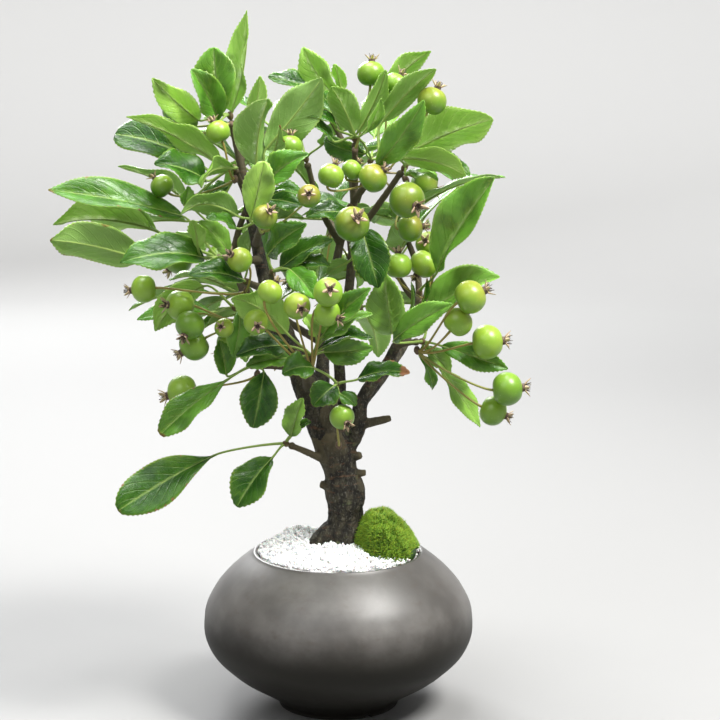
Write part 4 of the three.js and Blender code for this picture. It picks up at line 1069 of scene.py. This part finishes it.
def addFruit(shape, fruit, look):
    axis = fruit["axis"]
    side, other = fruitSides(axis)
    radius = fruit["radius"] * fruitCut["plump"]
    calyx = radius / fruitCut["calyx"]
    long = radius * fruitForm["long"]
    centre, *ways = (np.array(v) for v in (fruit["centre"], axis, side, other))
    angles = 2 * math.pi * np.arange(fruitCut["around"]) / fruitCut["around"]
    rings = []
    tones = []
    spots = []
    for i in range(fruitCut["rows"] + 1):
        lift = math.pi * (i / fruitCut["rows"] - 0.5) * fruitCut["poles"]
        top = max(0, math.sin(lift)) ** 5
        foot = max(0, -math.sin(lift)) ** 8
        height = long * math.sin(lift) - fruitCut["flowerDent"] * calyx * top
        height += fruitCut["stalkDent"] * calyx * foot
        wide = radius * math.cos(lift) * (1 + fruitCut["lobes"] * np.cos(5 * angles) * top)
        ring = centre + ways[0] * height
        ring = ring + (wide * np.cos(angles))[:, None] * ways[1]
        ring = ring + (wide * np.sin(angles))[:, None] * ways[2]
        rings.append(ring)
        # painted light and shade: each fruit's skin mark rises from its bottom to its top, partly a
        # real sun side
        sunSideAndPaintedShading = 0.5 + 0.5 * (ring[:, 2] - centre[2]) / radius
        tones.append(rowsOf(0, 0, sunSideAndPaintedShading.clip(0, 1), look["blush"]))
        spots += [(0, 0.5 + 0.5 * math.sin(lift), 0, look["seed"])] * len(ring)
    shape.skin(rings, np.concatenate(tones), spots)
    addCalyx(shape, fruit["centre"] + axis * long, axis, side, other, calyx, look)
    crown = fruit["crown"]
    foot = fruit["centre"] - axis * (fruitStalk["from"] * long)
    reach = min(petiole["reach"], (crown - foot).length / 3)
    handles = (crown, crown + fruit["start"] * reach, foot - axis * reach, foot)
    path = []
    for i in range(fruitStalk["points"]):
        t = i / (fruitStalk["points"] - 1)
        thick = fruitStalk["radius"] + fruitStalk["flare"] * (1 - t) ** 5
        path.append((bezier(*handles, t), thick + fruitStalk["swell"] * t**8))
    tone = (0, 1, 0, look["blush"])
    shape.tube(path, fruitStalk["sides"], tone, (0.5, 0.3, 0, look["seed"]))


# the dried flower: a short neck, five curled sepals and a brush of stamens
def addCalyx(shape, seat, axis, side, other, size, look):
    draw = look["draw"]
    size = size * fruitCut["calyxGrowth"]
    neck = [(seat - axis * 0.9 * size, 1.5 * size), (seat - axis * 0.2 * size, 1.25 * size)]
    neck += [(seat + axis * 0.5 * size, 1.15 * size), (seat + axis * 0.25 * size, 0.5 * size)]
    shape.tube(neck, 10, (1, 0, 0.85, 0), (0.5, 0.5, 0, 0.5))
    for j in range(sepalCut["count"]):
        angle = 2 * math.pi * j / sepalCut["count"] + draw(*sepalCut["jitter"])
        out = side * math.cos(angle) + other * math.sin(angle)
        cross = axis.cross(out)
        curl = draw(*sepalCut["curl"])
        first = sepalCut["seat"] * size
        reach = draw(*sepalCut["reach"]) * fruitForm["sepal"] * size
        rings = []
        tones = []
        for i in range(sepalCut["rings"]):
            t = i / (sepalCut["rings"] - 1)
            away = first + (reach - first) * (t - 0.12 * curl * t * t)
            lift = size * (0.3 + sepalCut["climb"] * t + curl * t * t * 0.9)
            point = seat + out * away + axis * lift
            half = sepalCut["wide"] * size * (1 - t) ** 0.7 * (0.75 + 0.9 * t) + 0.06
            thick = sepalCut["thick"] * size * (1 - 0.6 * t) + 0.04
            tilt = axis + out * (-0.5 - curl * t)
            tilt.normalize()
            bend = cross * half
            left = point + bend + tilt * 0.25 * half
            right = point - bend + tilt * 0.25 * half
            rings.append([left, point + tilt * thick, right, point - tilt * thick])
            tones += [(1, 0, sepalCut["pale"] * i / (sepalCut["rings"] - 1), 0)] * 4
        shape.skin(rings, tones, (0.5, 0.5, 0, draw(0, 1)))
    for j in range(stamenCut["count"]):
        angle = stamenCut["turn"] * j
        out = side * math.cos(angle) + other * math.sin(angle)
        start = seat + out * (stamenCut["out"] * size) + axis * (stamenCut["up"] * size)
        spread = out * (draw(*stamenCut["spread"]) * size)
        end = start + spread + axis * (draw(*stamenCut["long"]) * size)
        bend = start.lerp(end, 0.5) + out * (draw(*stamenCut["bend"]) * size)
        radius = stamenCut["radius"]
        path = [(start, radius), (bend, radius), (end, radius * 1.5)]
        shape.tube(path, 4, (1, 0, 1, 0), (0.5, 0.5, 0, 0.5))


# fruits by their order on their spurs: how warm a blush, and how pale a green. The pale greens are
# partly each fruit's own colour and partly painted light and shade: paler on fruits that hang in
# shade, darker on brightly lit ones
fruitLooks = {
    "crown_right": {0: (0.4,), 2: (0.5,)},
    "shoulder_left": {0: (0.1, 0.3), 1: (0.1, 1)},
    "shoulder_right": {0: (0.5, 0.3), 1: (0.3, 0)},
    "right_upper": {0: (0, 1), 1: (0.3, 1)},
    "right_low": {0: (0.4, 0.8), 1: (0.2, 0.9), 4: (0, 0.6)},
    "middle_low": {0: (0.3, 1), 2: (0.3, 1), 3: (0, 1), 4: (0, 1)},
    "left_low": {0: (0, 1)},
    "left_twig": {0: (0, 1), 1: (0, 0.1), 2: (0, 0.4)},
    "left_front": {1: (0.3, 1)},
    "middle_front": {0: (0.4, 0), 1: (0.6, 0)},
    "crown_middle": {0: (0.1, 0.3)},
    "middle_right": {0: (0.35, 0)},
}
fruitSkin = fruitMaterial()
fruitDraw = seededDraw(fruitCut["seed"])
fruitCount = 0
for spur in spurs:
    if not spur["fruits"]:
        continue
    node = "fruits_" + spur["name"]
    shape = Shape()
    addBud(shape, spur["place"]["fruitCrown"], spur["place"]["end"])
    for order, fruit in enumerate(standing(node, spur["fruits"], fruitProbes)):
        look = {"blush": max(0, fruitDraw(-0.3, 0.45)), "seed": fruitDraw(0, 1), "draw": fruitDraw}
        # listed blushes and greens, the greens partly painted light and shade, replace the drawn
        # ones
        look |= dict(zip(("blush", "seed"), fruitLooks.get(spur["name"], {}).get(order, ())))
        if fruit is None:
            continue
        addFruit(shape, fruit, look)
        fruitCount += 1
    shape.made("bunch_" + spur["name"], node, fruitSkin)
print("fruits made:", fruitCount)

# the wood

bark = {
    "sides": 16,
    "twigSides": 10,
    "stout": 4,  # a limb thicker than this radius gets all its sides
    "spacing": 1.6,
    "voxel": 0.65,
    "plates": 0.75,  # millimetres of relief on the thick trunk
    "grain": 0.35,
    "knots": 1.1,
    "fine": 0.12,
    "sizes": {"fissure": 4.2, "plate": 2.4, "grain": 0.95, "knot": 9, "fine": 1.8},
    "upright": 0.45,  # plates and fissures run along the trunk, so height counts less
    "smooth": 1.6,  # twigs up to this radius have no plates
    "rough": 6,  # and this much thicker ones have them at their full depth
}
barkPaint = {
    "deep": (0.008, 0.007, 0.005),
    "brown": (0.060, 0.052, 0.032),
    "grey": (0.230, 0.220, 0.180),
    "red": (0.150, 0.070, 0.035),
    "lichen": (0.120, 0.150, 0.060),
    "twig": (0.105, 0.085, 0.042),
}


def barkMaterial():
    g = Graph("bark", barkPaint)
    girth = g.mark("tone")[0]
    plates = g.speckle(3.4, 4, 0.6, stretch=(1, 1, 0.55))
    grain = g.speckle(0.9, 3, 0.65, stretch=(1, 1, 0.5))
    patch = g.speckle(6, 3, 0.6, seed=7.0)
    crack = 1 - g.cells(4.2, "DISTANCE_TO_EDGE").step(0.0, 0.14)
    colour = g.mix(plates.step(0.38, 0.68), "deep", "brown")
    colour = g.mix(grain.step(0.5, 0.75) * 0.55, colour, "grey")
    streaks = g.speckle(5, 3, 0.6, stretch=(0.6, 0.6, 2.4), seed=3.0)
    colour = g.mix(streaks.step(0.56, 0.68) * 0.5, colour, "red")
    colour = g.mix((1 - streaks.step(0.3, 0.42)) * 0.6, colour, "deep")
    colour = g.mix(patch.step(0.6, 0.72) * 0.5, colour, "lichen")
    # the cracks darken on the thick wood: partly the bark's own dark fissures, partly painted shade
    # in their recesses
    colour = g.mix(crack * 0.55 * girth, colour, "deep")
    young = g.mix(grain, "twig", "brown")
    colour = g.mix(girth.step(0.02, 0.22), young, colour)
    height = plates * 0.8 + grain * 0.6 + streaks * 0.8 - crack * 0.5 * girth
    return g.finish({
        "Base Color": colour,
        "Roughness": 0.72 + grain * 0.2,
        "Normal": g.bump(height, 0.45, 0.9),
        "Specular IOR Level": 0.35,
    })


def addLimb(shape, rows, ends):
    path = smoothPath([(placed(a, b, y)[0], radius) for a, b, y, radius in rows], bark["spacing"])
    if ends:
        tip, _ = path[-1]
        path[-1] = (tip, knob["wood"])
        path.append((tip + ends * knob["wood"] * 0.6, knob["wood"] * 0.85))
        path.append((tip + ends * knob["wood"], knob["wood"] * 0.3))
    stout = max(row[3] for row in rows) > bark["stout"]
    shape.tube(path, bark["sides"] if stout else bark["twigSides"], (0, 0, 0, 0))
    return path


# how far the bark stands out at a point of the wood, where 1 is the thick trunk and 0 a twig
def barkLift(point, thick):
    sizes = bark["sizes"]
    stretched = Vector((point.x, point.y, point.z * bark["upright"]))
    fissure = noise.turbulence(stretched / sizes["fissure"], 3, True)
    plate = noise.fractal(stretched / sizes["plate"], 0.8, 2.1, 3)
    grain = noise.noise(point / sizes["grain"])
    lump = noise.noise(point / sizes["knot"])
    lift = bark["plates"] * thick * (0.9 * fissure - 0.55 + 0.45 * plate)
    lift += bark["grain"] * (0.25 + 0.75 * thick) * grain * 0.5
    lift += bark["knots"] * thick * lump
    return lift + bark["fine"] * (1 - thick) * noise.noise(point / sizes["fine"])


def makeWood():
    shape = Shape()
    paths = [addLimb(shape, rows, None) for rows in limbs.values()]
    paths += [addLimb(shape, spur["twig"], spur["place"]["out"]) for spur in spurs]
    centres = [spot for path in paths for spot in path]
    rough = linked("rough", shape.bare("rough"))
    remesh = rough.modifiers.new("skin", "REMESH")
    remesh.mode = "VOXEL"
    remesh.voxel_size = bark["voxel"] * mm
    remesh.adaptivity = 0
    smoothing = rough.modifiers.new("soften", "SMOOTH")
    smoothing.factor = 0.5
    smoothing.iterations = 3
    graph = bpy.context.evaluated_depsgraph_get()
    whole = bpy.data.meshes.new_from_object(rough.evaluated_get(graph))
    bpy.data.objects.remove(rough)
    whole.name = "treeWood"
    tree = treeOf([point for point, _ in centres])
    tones = np.zeros((len(whole.vertices), 4), np.float32)
    moved = np.empty((len(whole.vertices), 3), np.float32)
    normals = [vertex.normal.copy() for vertex in whole.vertices]
    for i, vertex in enumerate(whole.vertices):
        point = vertex.co / mm
        nearest = min(tree.find_n(point, 4), key=lambda found: found[2] - centres[found[1]][1])
        radius = centres[nearest[1]][1]
        thick = min(1, max(0, (radius - bark["smooth"]) / bark["rough"]))
        moved[i] = vertex.co + normals[i] * (barkLift(point, thick) * mm)
        tones[i, 0] = thick
    whole.vertices.foreach_set("co", moved.ravel())
    markPoints(whole, "tone", tones)
    whole.shade_smooth()
    whole.update()
    return pieceOf("treeWood", whole, "wood", barkMaterial())


wood = makeWood()
print("wood made:", len(wood.data.polygons), "faces")

# the pot

pot = {
    "outside": [(30.5, 0), (31.2, 3), (38.2, 8), (56, 20), (67.2, 34), (67.4, 51.5), (58, 67),
                (43.5, 79.3)],
    "inside": [(40.6, 78.4), (54.5, 64.5), (62.9, 50.5), (62.6, 35.5), (51.8, 22.5), (35.5, 11.5),
               (28, 7)],
    "foot": [(26, 0.0), (29.7, 0.0), (30.35, 0.35)],
    "lip": [(43.1, 79.6), (42.4, 79.75), (41.6, 79.55), (41.0, 79.0)],
    "floor": (20, 7),
    "sides": 144,
    "throwing": {"deep": 0.1, "pitch": 1.9},  # the slight rings that throwing leaves
    "drain": {"count": 3, "radius": 3.5, "sides": 32, "from": 14},
    "groove": {"wide": 3, "deep": 1.2, "past": 4},
    "crease": 40,  # degrees from which an edge is drawn sharp
}
potPaint = {
    "clay": (0.058, 0.053, 0.048),
    "pale": (0.108, 0.101, 0.093),
    # foot: the colour of the pot's lower body, painted shade that darkens it towards the bottom
    "foot": (0.018, 0.017, 0.014),
    "warm": (0.055, 0.038, 0.027),
    "speck": (0.110, 0.105, 0.096),
    "footFade": (39, 63),  # heights between which the painted shade on the darker lower body gives way
    "coatFade": (43, 65),
    "uneven": 8,
}


def clayMaterial():
    g = Graph("clay", potPaint)
    clouds = g.speckle(26, 4, 0.55)
    smear = g.speckle(7, 3, 0.6, stretch=(1, 1, 2.2))
    grain = g.speckle(0.55, 2, 0.7)
    specks = 1 - g.cells(2.6).step(0.05, 0.16)
    few = g.cells(2.6, output="Color")
    shown = g.add("ShaderNodeSeparateColor", {}, {0: few})["Red"].step(0.72, 0.76)
    specks = specks * shown
    colour = g.mix(clouds.step(0.35, 0.7), "clay", "pale")
    colour = g.mix(smear.step(0.5, 0.8) * 0.4, colour, "warm")
    colour = g.mix(specks * 0.4, colour, "speck")
    height = g.add("ShaderNodeSeparateXYZ", {}, {0: g.place})["Z"] * (1 / mm)
    height = height + clouds * potPaint["uneven"]
    # painted shade: the clay turns to the darker foot colour below these heights
    colour = g.mix(1 - height.step(*potPaint["footFade"]), colour, "foot")
    return g.finish({
        "Base Color": colour,
        "Roughness": 0.42 + clouds * 0.08 + grain * 0.06,
        "Normal": g.bump(grain * 0.6 + smear * 0.5 + specks * 0.5, 0.12, 0.4),
        "Specular IOR Level": 0.14,
        "Coat Weight": height.step(*potPaint["coatFade"]),
        "Coat Roughness": 0.44,
    })


def splinePoints(points, each):
    spots = [Vector(point) for point in points]
    ends = [spots[0], *spots, spots[-1]]
    path = []
    for p0, p1, p2, p3 in zip(ends, ends[1:], ends[2:], ends[3:]):
        v0 = (p2 - p0) * 0.5
        v1 = (p3 - p1) * 0.5
        cubic = 2 * p1 - 2 * p2 + v0 + v1
        square = -3 * p1 + 3 * p2 - 2 * v0 - v1
        for i in range(each):
            t = i / each
            path.append(cubic * t**3 + square * t**2 + v0 * t + p1)
    return [tuple(point) for point in path] + [points[-1]]


def turned(profile, sides):
    angles = 2 * math.pi * np.arange(sides) / sides
    return np.array([rowsOf(r * np.cos(angles), r * np.sin(angles), z) for r, z in profile])


# the drain holes, and the grooves that let water out from under the foot
def drainCutters():
    drain, groove = pot["drain"], pot["groove"]
    cutters = []
    for i in range(drain["count"]):
        angle = (i + 0.5) * 2 * math.pi / drain["count"]
        way = Vector((math.cos(angle), math.sin(angle), 0))
        hole = {"radius": drain["radius"] * mm, "depth": 4 * pot["floor"][1] * mm}
        hole |= {"vertices": drain["sides"], "location": way * drain["from"] * mm}
        bpy.ops.mesh.primitive_cylinder_add(**hole)
        cutters.append(bpy.context.object)
        reach = pot["outside"][0][0] - drain["from"] + groove["past"]
        middle = way * (drain["from"] + reach / 2) * mm
        bpy.ops.mesh.primitive_cube_add(size=1, location=middle, rotation=(0, 0, angle))
        bpy.context.object.scale = (reach * mm, groove["wide"] * mm, 2 * groove["deep"] * mm)
        cutters.append(bpy.context.object)
    return cutters


def makePot():
    throwing = pot["throwing"]
    wall = []
    for radius, height in splinePoints(pot["outside"], 8)[1:]:
        wave = throwing["deep"] * math.sin(height / throwing["pitch"])
        wall.append((radius + wave - throwing["deep"], height))
    inside = splinePoints(pot["inside"], 6)
    shape = Shape()
    profile = pot["foot"] + wall + pot["lip"] + inside + [pot["floor"]]
    shape.skin(turned(profile, pot["sides"]), (0, 0, 0, 0))
    body = linked("potClay", shape.bare("potClay"))
    cutters = drainCutters()
    for cutter in cutters:
        cut = body.modifiers.new("cut", "BOOLEAN")
        cut.object = cutter
        cut.operation = "DIFFERENCE"
        cut.solver = "EXACT"
    graph = bpy.context.evaluated_depsgraph_get()
    whole = bpy.data.meshes.new_from_object(body.evaluated_get(graph))
    bpy.data.objects.remove(body)
    for cutter in cutters:
        bpy.data.objects.remove(cutter)
    whole.materials.clear()
    whole.shade_smooth()
    whole.set_sharp_from_angle(angle=math.radians(pot["crease"]))
    return pieceOf("potClay", whole, "pot", clayMaterial())


makePot()
print("pot made")

# soil and drain net keep their solids and get their own finish

soilPaint = {"dark": (0.020, 0.012, 0.007), "brown": (0.120, 0.078, 0.046)}
soilPaint |= {"grit": (0.200, 0.160, 0.110)}
netPaint = {"black": (0.012, 0.012, 0.012), "worn": (0.030, 0.030, 0.029)}


def soilMaterial():
    g = Graph("soil", soilPaint)
    crumbs = g.cells(2.2)
    grain = g.speckle(0.9, 3, 0.6)
    colour = g.mix(crumbs, "dark", "brown")
    colour = g.mix(grain.step(0.55, 0.7) * 0.5, colour, "grit")
    return g.finish({
        "Base Color": colour,
        "Roughness": 0.85 + grain * 0.1,
        "Normal": g.bump(crumbs + grain * 0.4, 0.6),
    })


def netMaterial():
    g = Graph("net", netPaint)
    grain = g.speckle(0.6, 2, 0.6)
    colour = g.mix(grain, "black", "worn")
    return g.finish({
        "Base Color": colour,
        "Roughness": 0.5 + grain * 0.15,
        "Normal": g.bump(grain, 0.05, 0.5),
    })


def dress(node, material):
    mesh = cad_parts[node].data
    if mesh.materials:
        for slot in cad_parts[node].material_slots:
            slot.material = material
    else:
        mesh.materials.append(material)


dress("soil", soilMaterial())
dress("drain_net", netMaterial())

# gravel

gravel = {
    "seed": 5113,
    "edge": 39.9,
    "rimTop": 78.8,
    "crown": 6.7,
    "bank": {"at": (-22, 13), "height": 5, "reach": 12},
    "bed": 1.1,  # how far the bed under the loose chips lies below their height
    "under": 73.9,  # height of its flat underside
    "sides": 48,
    "rings": (1.0, 0.9, 0.75, 0.6, 0.45, 0.3, 0.15, 0.02),
    "chips": 3000,
    "chip": (0.75, 1.45),
    "stretch": ((0.75, 1.25), (0.65, 1.1), (0.55, 0.95)),  # of a chip along its three axes
    "cut": (0.72, 1.12),  # how far its corners are pulled in or out
    "jitter": (-0.4, 0.4),
    "past": 1.6,  # how far past the edge a chip may reach
    "lift": (-0.9, 0.5),
    "heaped": 1.4,  # how much higher chips lie at the rim
    "mossShare": 0.9,  # no chips lie within this share of the moss
    "trunk": (3, 1, 9.5),  # nor in this circle: x, y and radius
}
gravelPaint = {"grey": (0.820, 0.818, 0.810), "white": (0.930, 0.930, 0.926)}
gravelPaint |= {"stain": (0.540, 0.535, 0.520)}
moss = {
    "seed": 7727,
    "at": (25, -4),
    "wide": 16.5,
    "deep": 21,
    "base": 80,
    "brim": 5,  # how far it sinks at its edge
    "height": 20,
    "lean": 0.42,
    "lumps": ((1.7, 2.6, 2.0), (2.0, 5.5, 5.0)),  # height, size and seed of each
    "bed": 0.9,
    "under": 74,
    "sides": 60,
    "rings": (1.0, 0.96, 0.88, 0.78, 0.66, 0.54, 0.42, 0.3, 0.18, 0.04),
    "shoots": 15000,
    "long": (1.4, 3.3),
    "thick": (0.14, 0.28),
    "sway": 0.8,
    "elbow": 0.55,  # where along its length a shoot bends
    "fill": 0.985,
    "slope": 0.4,  # half the distance over which its slope is measured
    "inset": 0.4,  # from the gravel's edge
}
mossPaint = {"deep": (0.008, 0.034, 0.002), "green": (0.130, 0.310, 0.008)}
mossPaint |= {"lime": (0.400, 0.560, 0.030), "shade": (0.060, 0.170, 0.008)}
golden = math.pi * (3 - math.sqrt(5))


# how far across and back a place is in the moss, as shares of its half width and depth
def mossShares(x, y):
    return (x - moss["at"][0]) / moss["wide"], (y - moss["at"][1]) / moss["deep"]


def gravelHeight(x, y):
    out = math.hypot(x, y) / gravel["edge"]
    bank = gravel["bank"]
    far = math.hypot(x - bank["at"][0], y - bank["at"][1]) / bank["reach"]
    rise = gravel["crown"] * max(0, 1 - out * out)
    return gravel["rimTop"] + rise + bank["height"] * math.exp(-far * far) * min(1, 4 * (1 - out))


def gravelMaterial():
    g = Graph("gravel", gravelPaint)
    _, _, shade, _ = g.mark("tone")
    grain = g.speckle(0.5, 3, 0.6)
    colour = g.mix(shade, "grey", "white")
    colour = g.mix(grain.step(0.6, 0.8) * 0.25, colour, "stain")
    return g.finish({
        "Base Color": colour,
        "Roughness": 0.5 + grain * 0.25,
        "Normal": g.bump(grain, 0.12, 0.6),
        "Subsurface Weight": 0.1,
        "Subsurface Scale": 1.5 * mm,
    })


# a ball of twenty sides, which every chip is cut from
ball = [(0, 0, -1), (0.72, -0.53, -0.45), (-0.28, -0.85, -0.45), (-0.89, 0, -0.45),
        (-0.28, 0.85, -0.45), (0.72, 0.53, -0.45), (0.28, -0.85, 0.45), (-0.72, -0.53, 0.45),
        (-0.72, 0.53, 0.45), (0.28, 0.85, 0.45), (0.89, 0, 0.45), (0, 0, 1)]
ballFaces = [(0, 1, 2), (1, 0, 5), (0, 2, 3), (0, 3, 4), (0, 4, 5), (1, 5, 10), (2, 1, 6),
             (3, 2, 7), (4, 3, 8), (5, 4, 9), (1, 10, 6), (2, 6, 7), (3, 7, 8), (4, 8, 9),
             (5, 9, 10), (6, 10, 11), (7, 6, 11), (8, 7, 11), (9, 8, 11), (10, 9, 11)]


# a closed mound: rings that shrink to its middle, over a flat underside
def addMound(shape, form, middle, reach, top, tone):
    sides = form["sides"]
    rings = []
    for share in form["rings"]:
        ring = []
        for j in range(sides):
            angle = 2 * math.pi * j / sides
            x = middle[0] + reach(angle) * share * math.cos(angle)
            y = middle[1] + reach(angle) * share * math.sin(angle)
            ring.append((x, y, top(x, y) - form["bed"]))
        rings.append(ring)
    floor = [(x, y, form["under"]) for x, y, _ in rings[0]]
    shape.skin([floor] + rings, tone)


def makeGravel():
    draw = seededDraw(gravel["seed"])
    shape = Shape()
    addMound(shape, gravel, (0, 0), lambda angle: gravel["edge"], gravelHeight, (0, 0, 0.2, 0))
    corners = np.array(ball)
    trunkX, trunkY, trunkClear = gravel["trunk"]
    for i in range(gravel["chips"]):
        share = math.sqrt((i + 0.5) / gravel["chips"])
        angle = golden * i + draw(*gravel["jitter"])
        size = draw(*gravel["chip"])
        radius = (gravel["edge"] + gravel["past"] - size * 0.9) * share
        x = radius * math.cos(angle)
        y = radius * math.sin(angle)
        lift = draw(*gravel["lift"])
        scale = np.array([draw(*span) for span in gravel["stretch"]]) * size
        turn = Quaternion([draw(-1, 1) for _ in range(4)]).normalized()
        cut = np.array([draw(*gravel["cut"]) for _ in ball])
        shade = draw(0, 1)
        inMoss = math.hypot(*mossShares(x, y)) < gravel["mossShare"]
        if inMoss or math.hypot(x - trunkX, y - trunkY) < trunkClear:
            continue
        points = corners * cut[:, None] * scale @ np.array(turn.to_matrix()).T
        points = points + (x, y, gravelHeight(x, y) + lift + gravel["heaped"] * share**4)
        shape.add(points, ballFaces, (0, 0, shade, 0))
    return shape.made("gravelChips", "gravel", gravelMaterial(), smooth=False)


makeGravel()
print("gravel made")

# moss


def mossMaterial():
    g = Graph("moss", mossPaint)
    tip, _, shade, _ = g.mark("tone")
    patches = g.speckle(5, 3, 0.6)
    colour = g.mix(tip, "deep", "green")
    colour = g.mix((shade * tip).held() * 0.8, colour, "lime")
    colour = g.mix(patches.step(0.35, 0.6) * 0.4, colour, "shade")
    return g.finish({
        "Base Color": colour,
        "Roughness": 0.6 + tip * 0.15,
        "Subsurface Weight": 0.1,
        "Subsurface Scale": 0.8 * mm,
    })


def mossTop(x, y):
    across, back = mossShares(x, y)
    share = min(1, math.hypot(across, back))
    dome = math.sqrt(max(0, 1 - share * share))
    lumps = 0
    for high, size, seed in moss["lumps"]:
        lumps += high * noise.noise(Vector((x / size, y / size, seed)))
    rise = moss["height"] * (1 - moss["lean"] * across)
    edge = moss["base"] - moss["brim"] * share * share
    return edge + rise * dome + lumps * min(1, 3 * dome)


shootFaces = [(0, 2, 1), (0, 1, 4, 3), (1, 2, 5, 4), (2, 0, 3, 5), (3, 4, 6), (4, 5, 6), (5, 3, 6)]


def makeMoss():
    draw = seededDraw(moss["seed"])
    shape = Shape()
    lip = gravel["edge"] - moss["inset"]
    cx, cy = moss["at"]

    def reach(angle):
        oval = 1 / math.hypot(math.cos(angle) / moss["wide"], math.sin(angle) / moss["deep"])
        inward = cx * math.cos(angle) + cy * math.sin(angle)
        toLip = -inward + math.sqrt(inward * inward + lip * lip - cx * cx - cy * cy)
        return min(oval, toLip)

    addMound(shape, moss, moss["at"], reach, mossTop, (0.05, 0, 0, 0))
    for i in range(moss["shoots"]):
        share = math.sqrt((i + 0.5) / moss["shoots"])
        angle = golden * i
        far = reach(angle) * share * moss["fill"]
        x = cx + far * math.cos(angle)
        y = cy + far * math.sin(angle)
        half = moss["slope"]
        slopeX = mossTop(x + half, y) - mossTop(x - half, y)
        slopeY = mossTop(x, y + half) - mossTop(x, y - half)
        out = Vector((-slopeX, -slopeY, 2 * half)).normalized()
        lean = Vector((draw(-1, 1), draw(-1, 1), draw(-0.3, 1))) * moss["sway"]
        way = (out + lean).normalized()
        length = draw(*moss["long"])
        thick = draw(*moss["thick"])
        shade = draw(0, 1)
        root = Vector((x, y, mossTop(x, y) - moss["bed"]))
        side = way.orthogonal().normalized()
        other = way.cross(side)
        bend = root + way * length * moss["elbow"] + side * thick
        corners = [
            root + side * thick,
            root - side * thick * 0.5 + other * thick,
            root - side * thick * 0.5 - other * thick,
            bend + side * thick,
            bend - side * thick * 0.6 + other * thick * 0.9,
            bend - side * thick * 0.6 - other * thick * 0.9,
            root + (way + side * 0.25) * length,
        ]
        tones = [(tip, 0, shade, 0) for tip in (0.15, 0.15, 0.15, 0.6, 0.6, 0.6, 1.0)]
        shape.add(corners, shootFaces, tones)
    return shape.made("mossTuft", "moss", mossMaterial())


makeMoss()
print("moss made")

# floor, light and camera

# a round studio bowl: a floor that curves up into a wall
studio = {
    "flat": 1.6,
    "wall": 3.0,
    "height": 3.2,
    "bend": 1.4,
    "bendSteps": 12,
    "sides": 96,
    "floorTone": (0.250, 0.249, 0.247),
    "wallTone": (0.660, 0.658, 0.653),
    "fade": (0.9, 2.6),  # distances from the pot between which the tone changes
}
sky = {"tint": (0.95, 0.97, 1.0), "strength": 0.22}


def makeStage():
    profile = [(0.001, 0.0), (studio["flat"] * 0.5, 0.0), (studio["flat"], 0.0)]
    for i in range(studio["bendSteps"]):
        angle = math.pi / 2 * (i + 1) / studio["bendSteps"]
        out = studio["flat"] + studio["bend"] * math.sin(angle)
        profile.append((out, studio["bend"] * (1 - math.cos(angle))))
    profile.append((studio["wall"], studio["height"]))
    sides = studio["sides"]
    mesh = bpy.data.meshes.new("paleFloor")
    points = turned(profile, sides).reshape(-1, 3).tolist()
    mesh.from_pydata(points, [], bands(len(profile), sides))
    mesh.shade_smooth()
    floor = linked("paleFloor", mesh)
    g = Graph("paleFloor", studio)
    away = g.add("ShaderNodeVectorMath", {"operation": "LENGTH"}, {0: g.place})["Value"]
    colour = g.mix(away.step(*studio["fade"]), "floorTone", "wallTone")
    finish = {"Base Color": colour, "Roughness": 0.7, "Specular IOR Level": 0.2}
    mesh.materials.append(g.finish(finish))
    world = bpy.data.worlds.new("softSky")
    world.use_nodes = True
    background = world.node_tree.nodes["Background"].inputs
    background[0].default_value = (*sky["tint"], 1)
    background[1].default_value = sky["strength"]
    bpy.context.scene.world = world


# where each lamp stands and looks, how wide it is, its power and tint
crownAim = (0, 0, 0.2)
lamps = {
    "window": ((0.7, -0.45, 1.36), (0, 0, 0.15), 0.5, 42, (1.0, 0.99, 0.96)),
    "left": ((-0.55, -0.95, 1.25), crownAim, 0.9, 8, (0.96, 0.98, 1.0)),
    "back": ((-0.4, 1.25, 0.95), crownAim, 0.7, 27, (0.98, 0.99, 1.0)),
    "above": ((-0.2, 0.1, 1.6), crownAim, 0.8, 29, (1.0, 1.0, 1.0)),
    "backdrop": ((0, 1.3, 1.7), (0, 3.0, 0.5), 1.4, 18, (1.0, 1.0, 1.0)),
}


def aimed(name, data, at, way):
    holder = linked(name, data)
    holder.location = at
    holder.rotation_mode = "QUATERNION"
    holder.rotation_quaternion = way.to_track_quat("-Z", "Y")
    return holder


def makeLamps():
    for name, (at, to, size, power, tint) in lamps.items():
        light = bpy.data.lights.new(name, "AREA")
        light.size = size
        light.energy = power
        light.color = tint
        aimed(name, light, at, Vector(to) - Vector(at)).visible_camera = False


view = {"lens": 96, "sensor": 36, "near": 0.05}


def makeCamera():
    camera = bpy.data.cameras.new("camera")
    camera.lens = view["lens"]
    camera.sensor_width = view["sensor"]
    camera.clip_start = view["near"]
    bpy.context.scene.camera = aimed("camera", camera, eye * mm, sight)
    bpy.context.scene.view_settings.view_transform = "Standard"


makeStage()
makeLamps()
makeCamera()
print("floor, lamps and camera made")
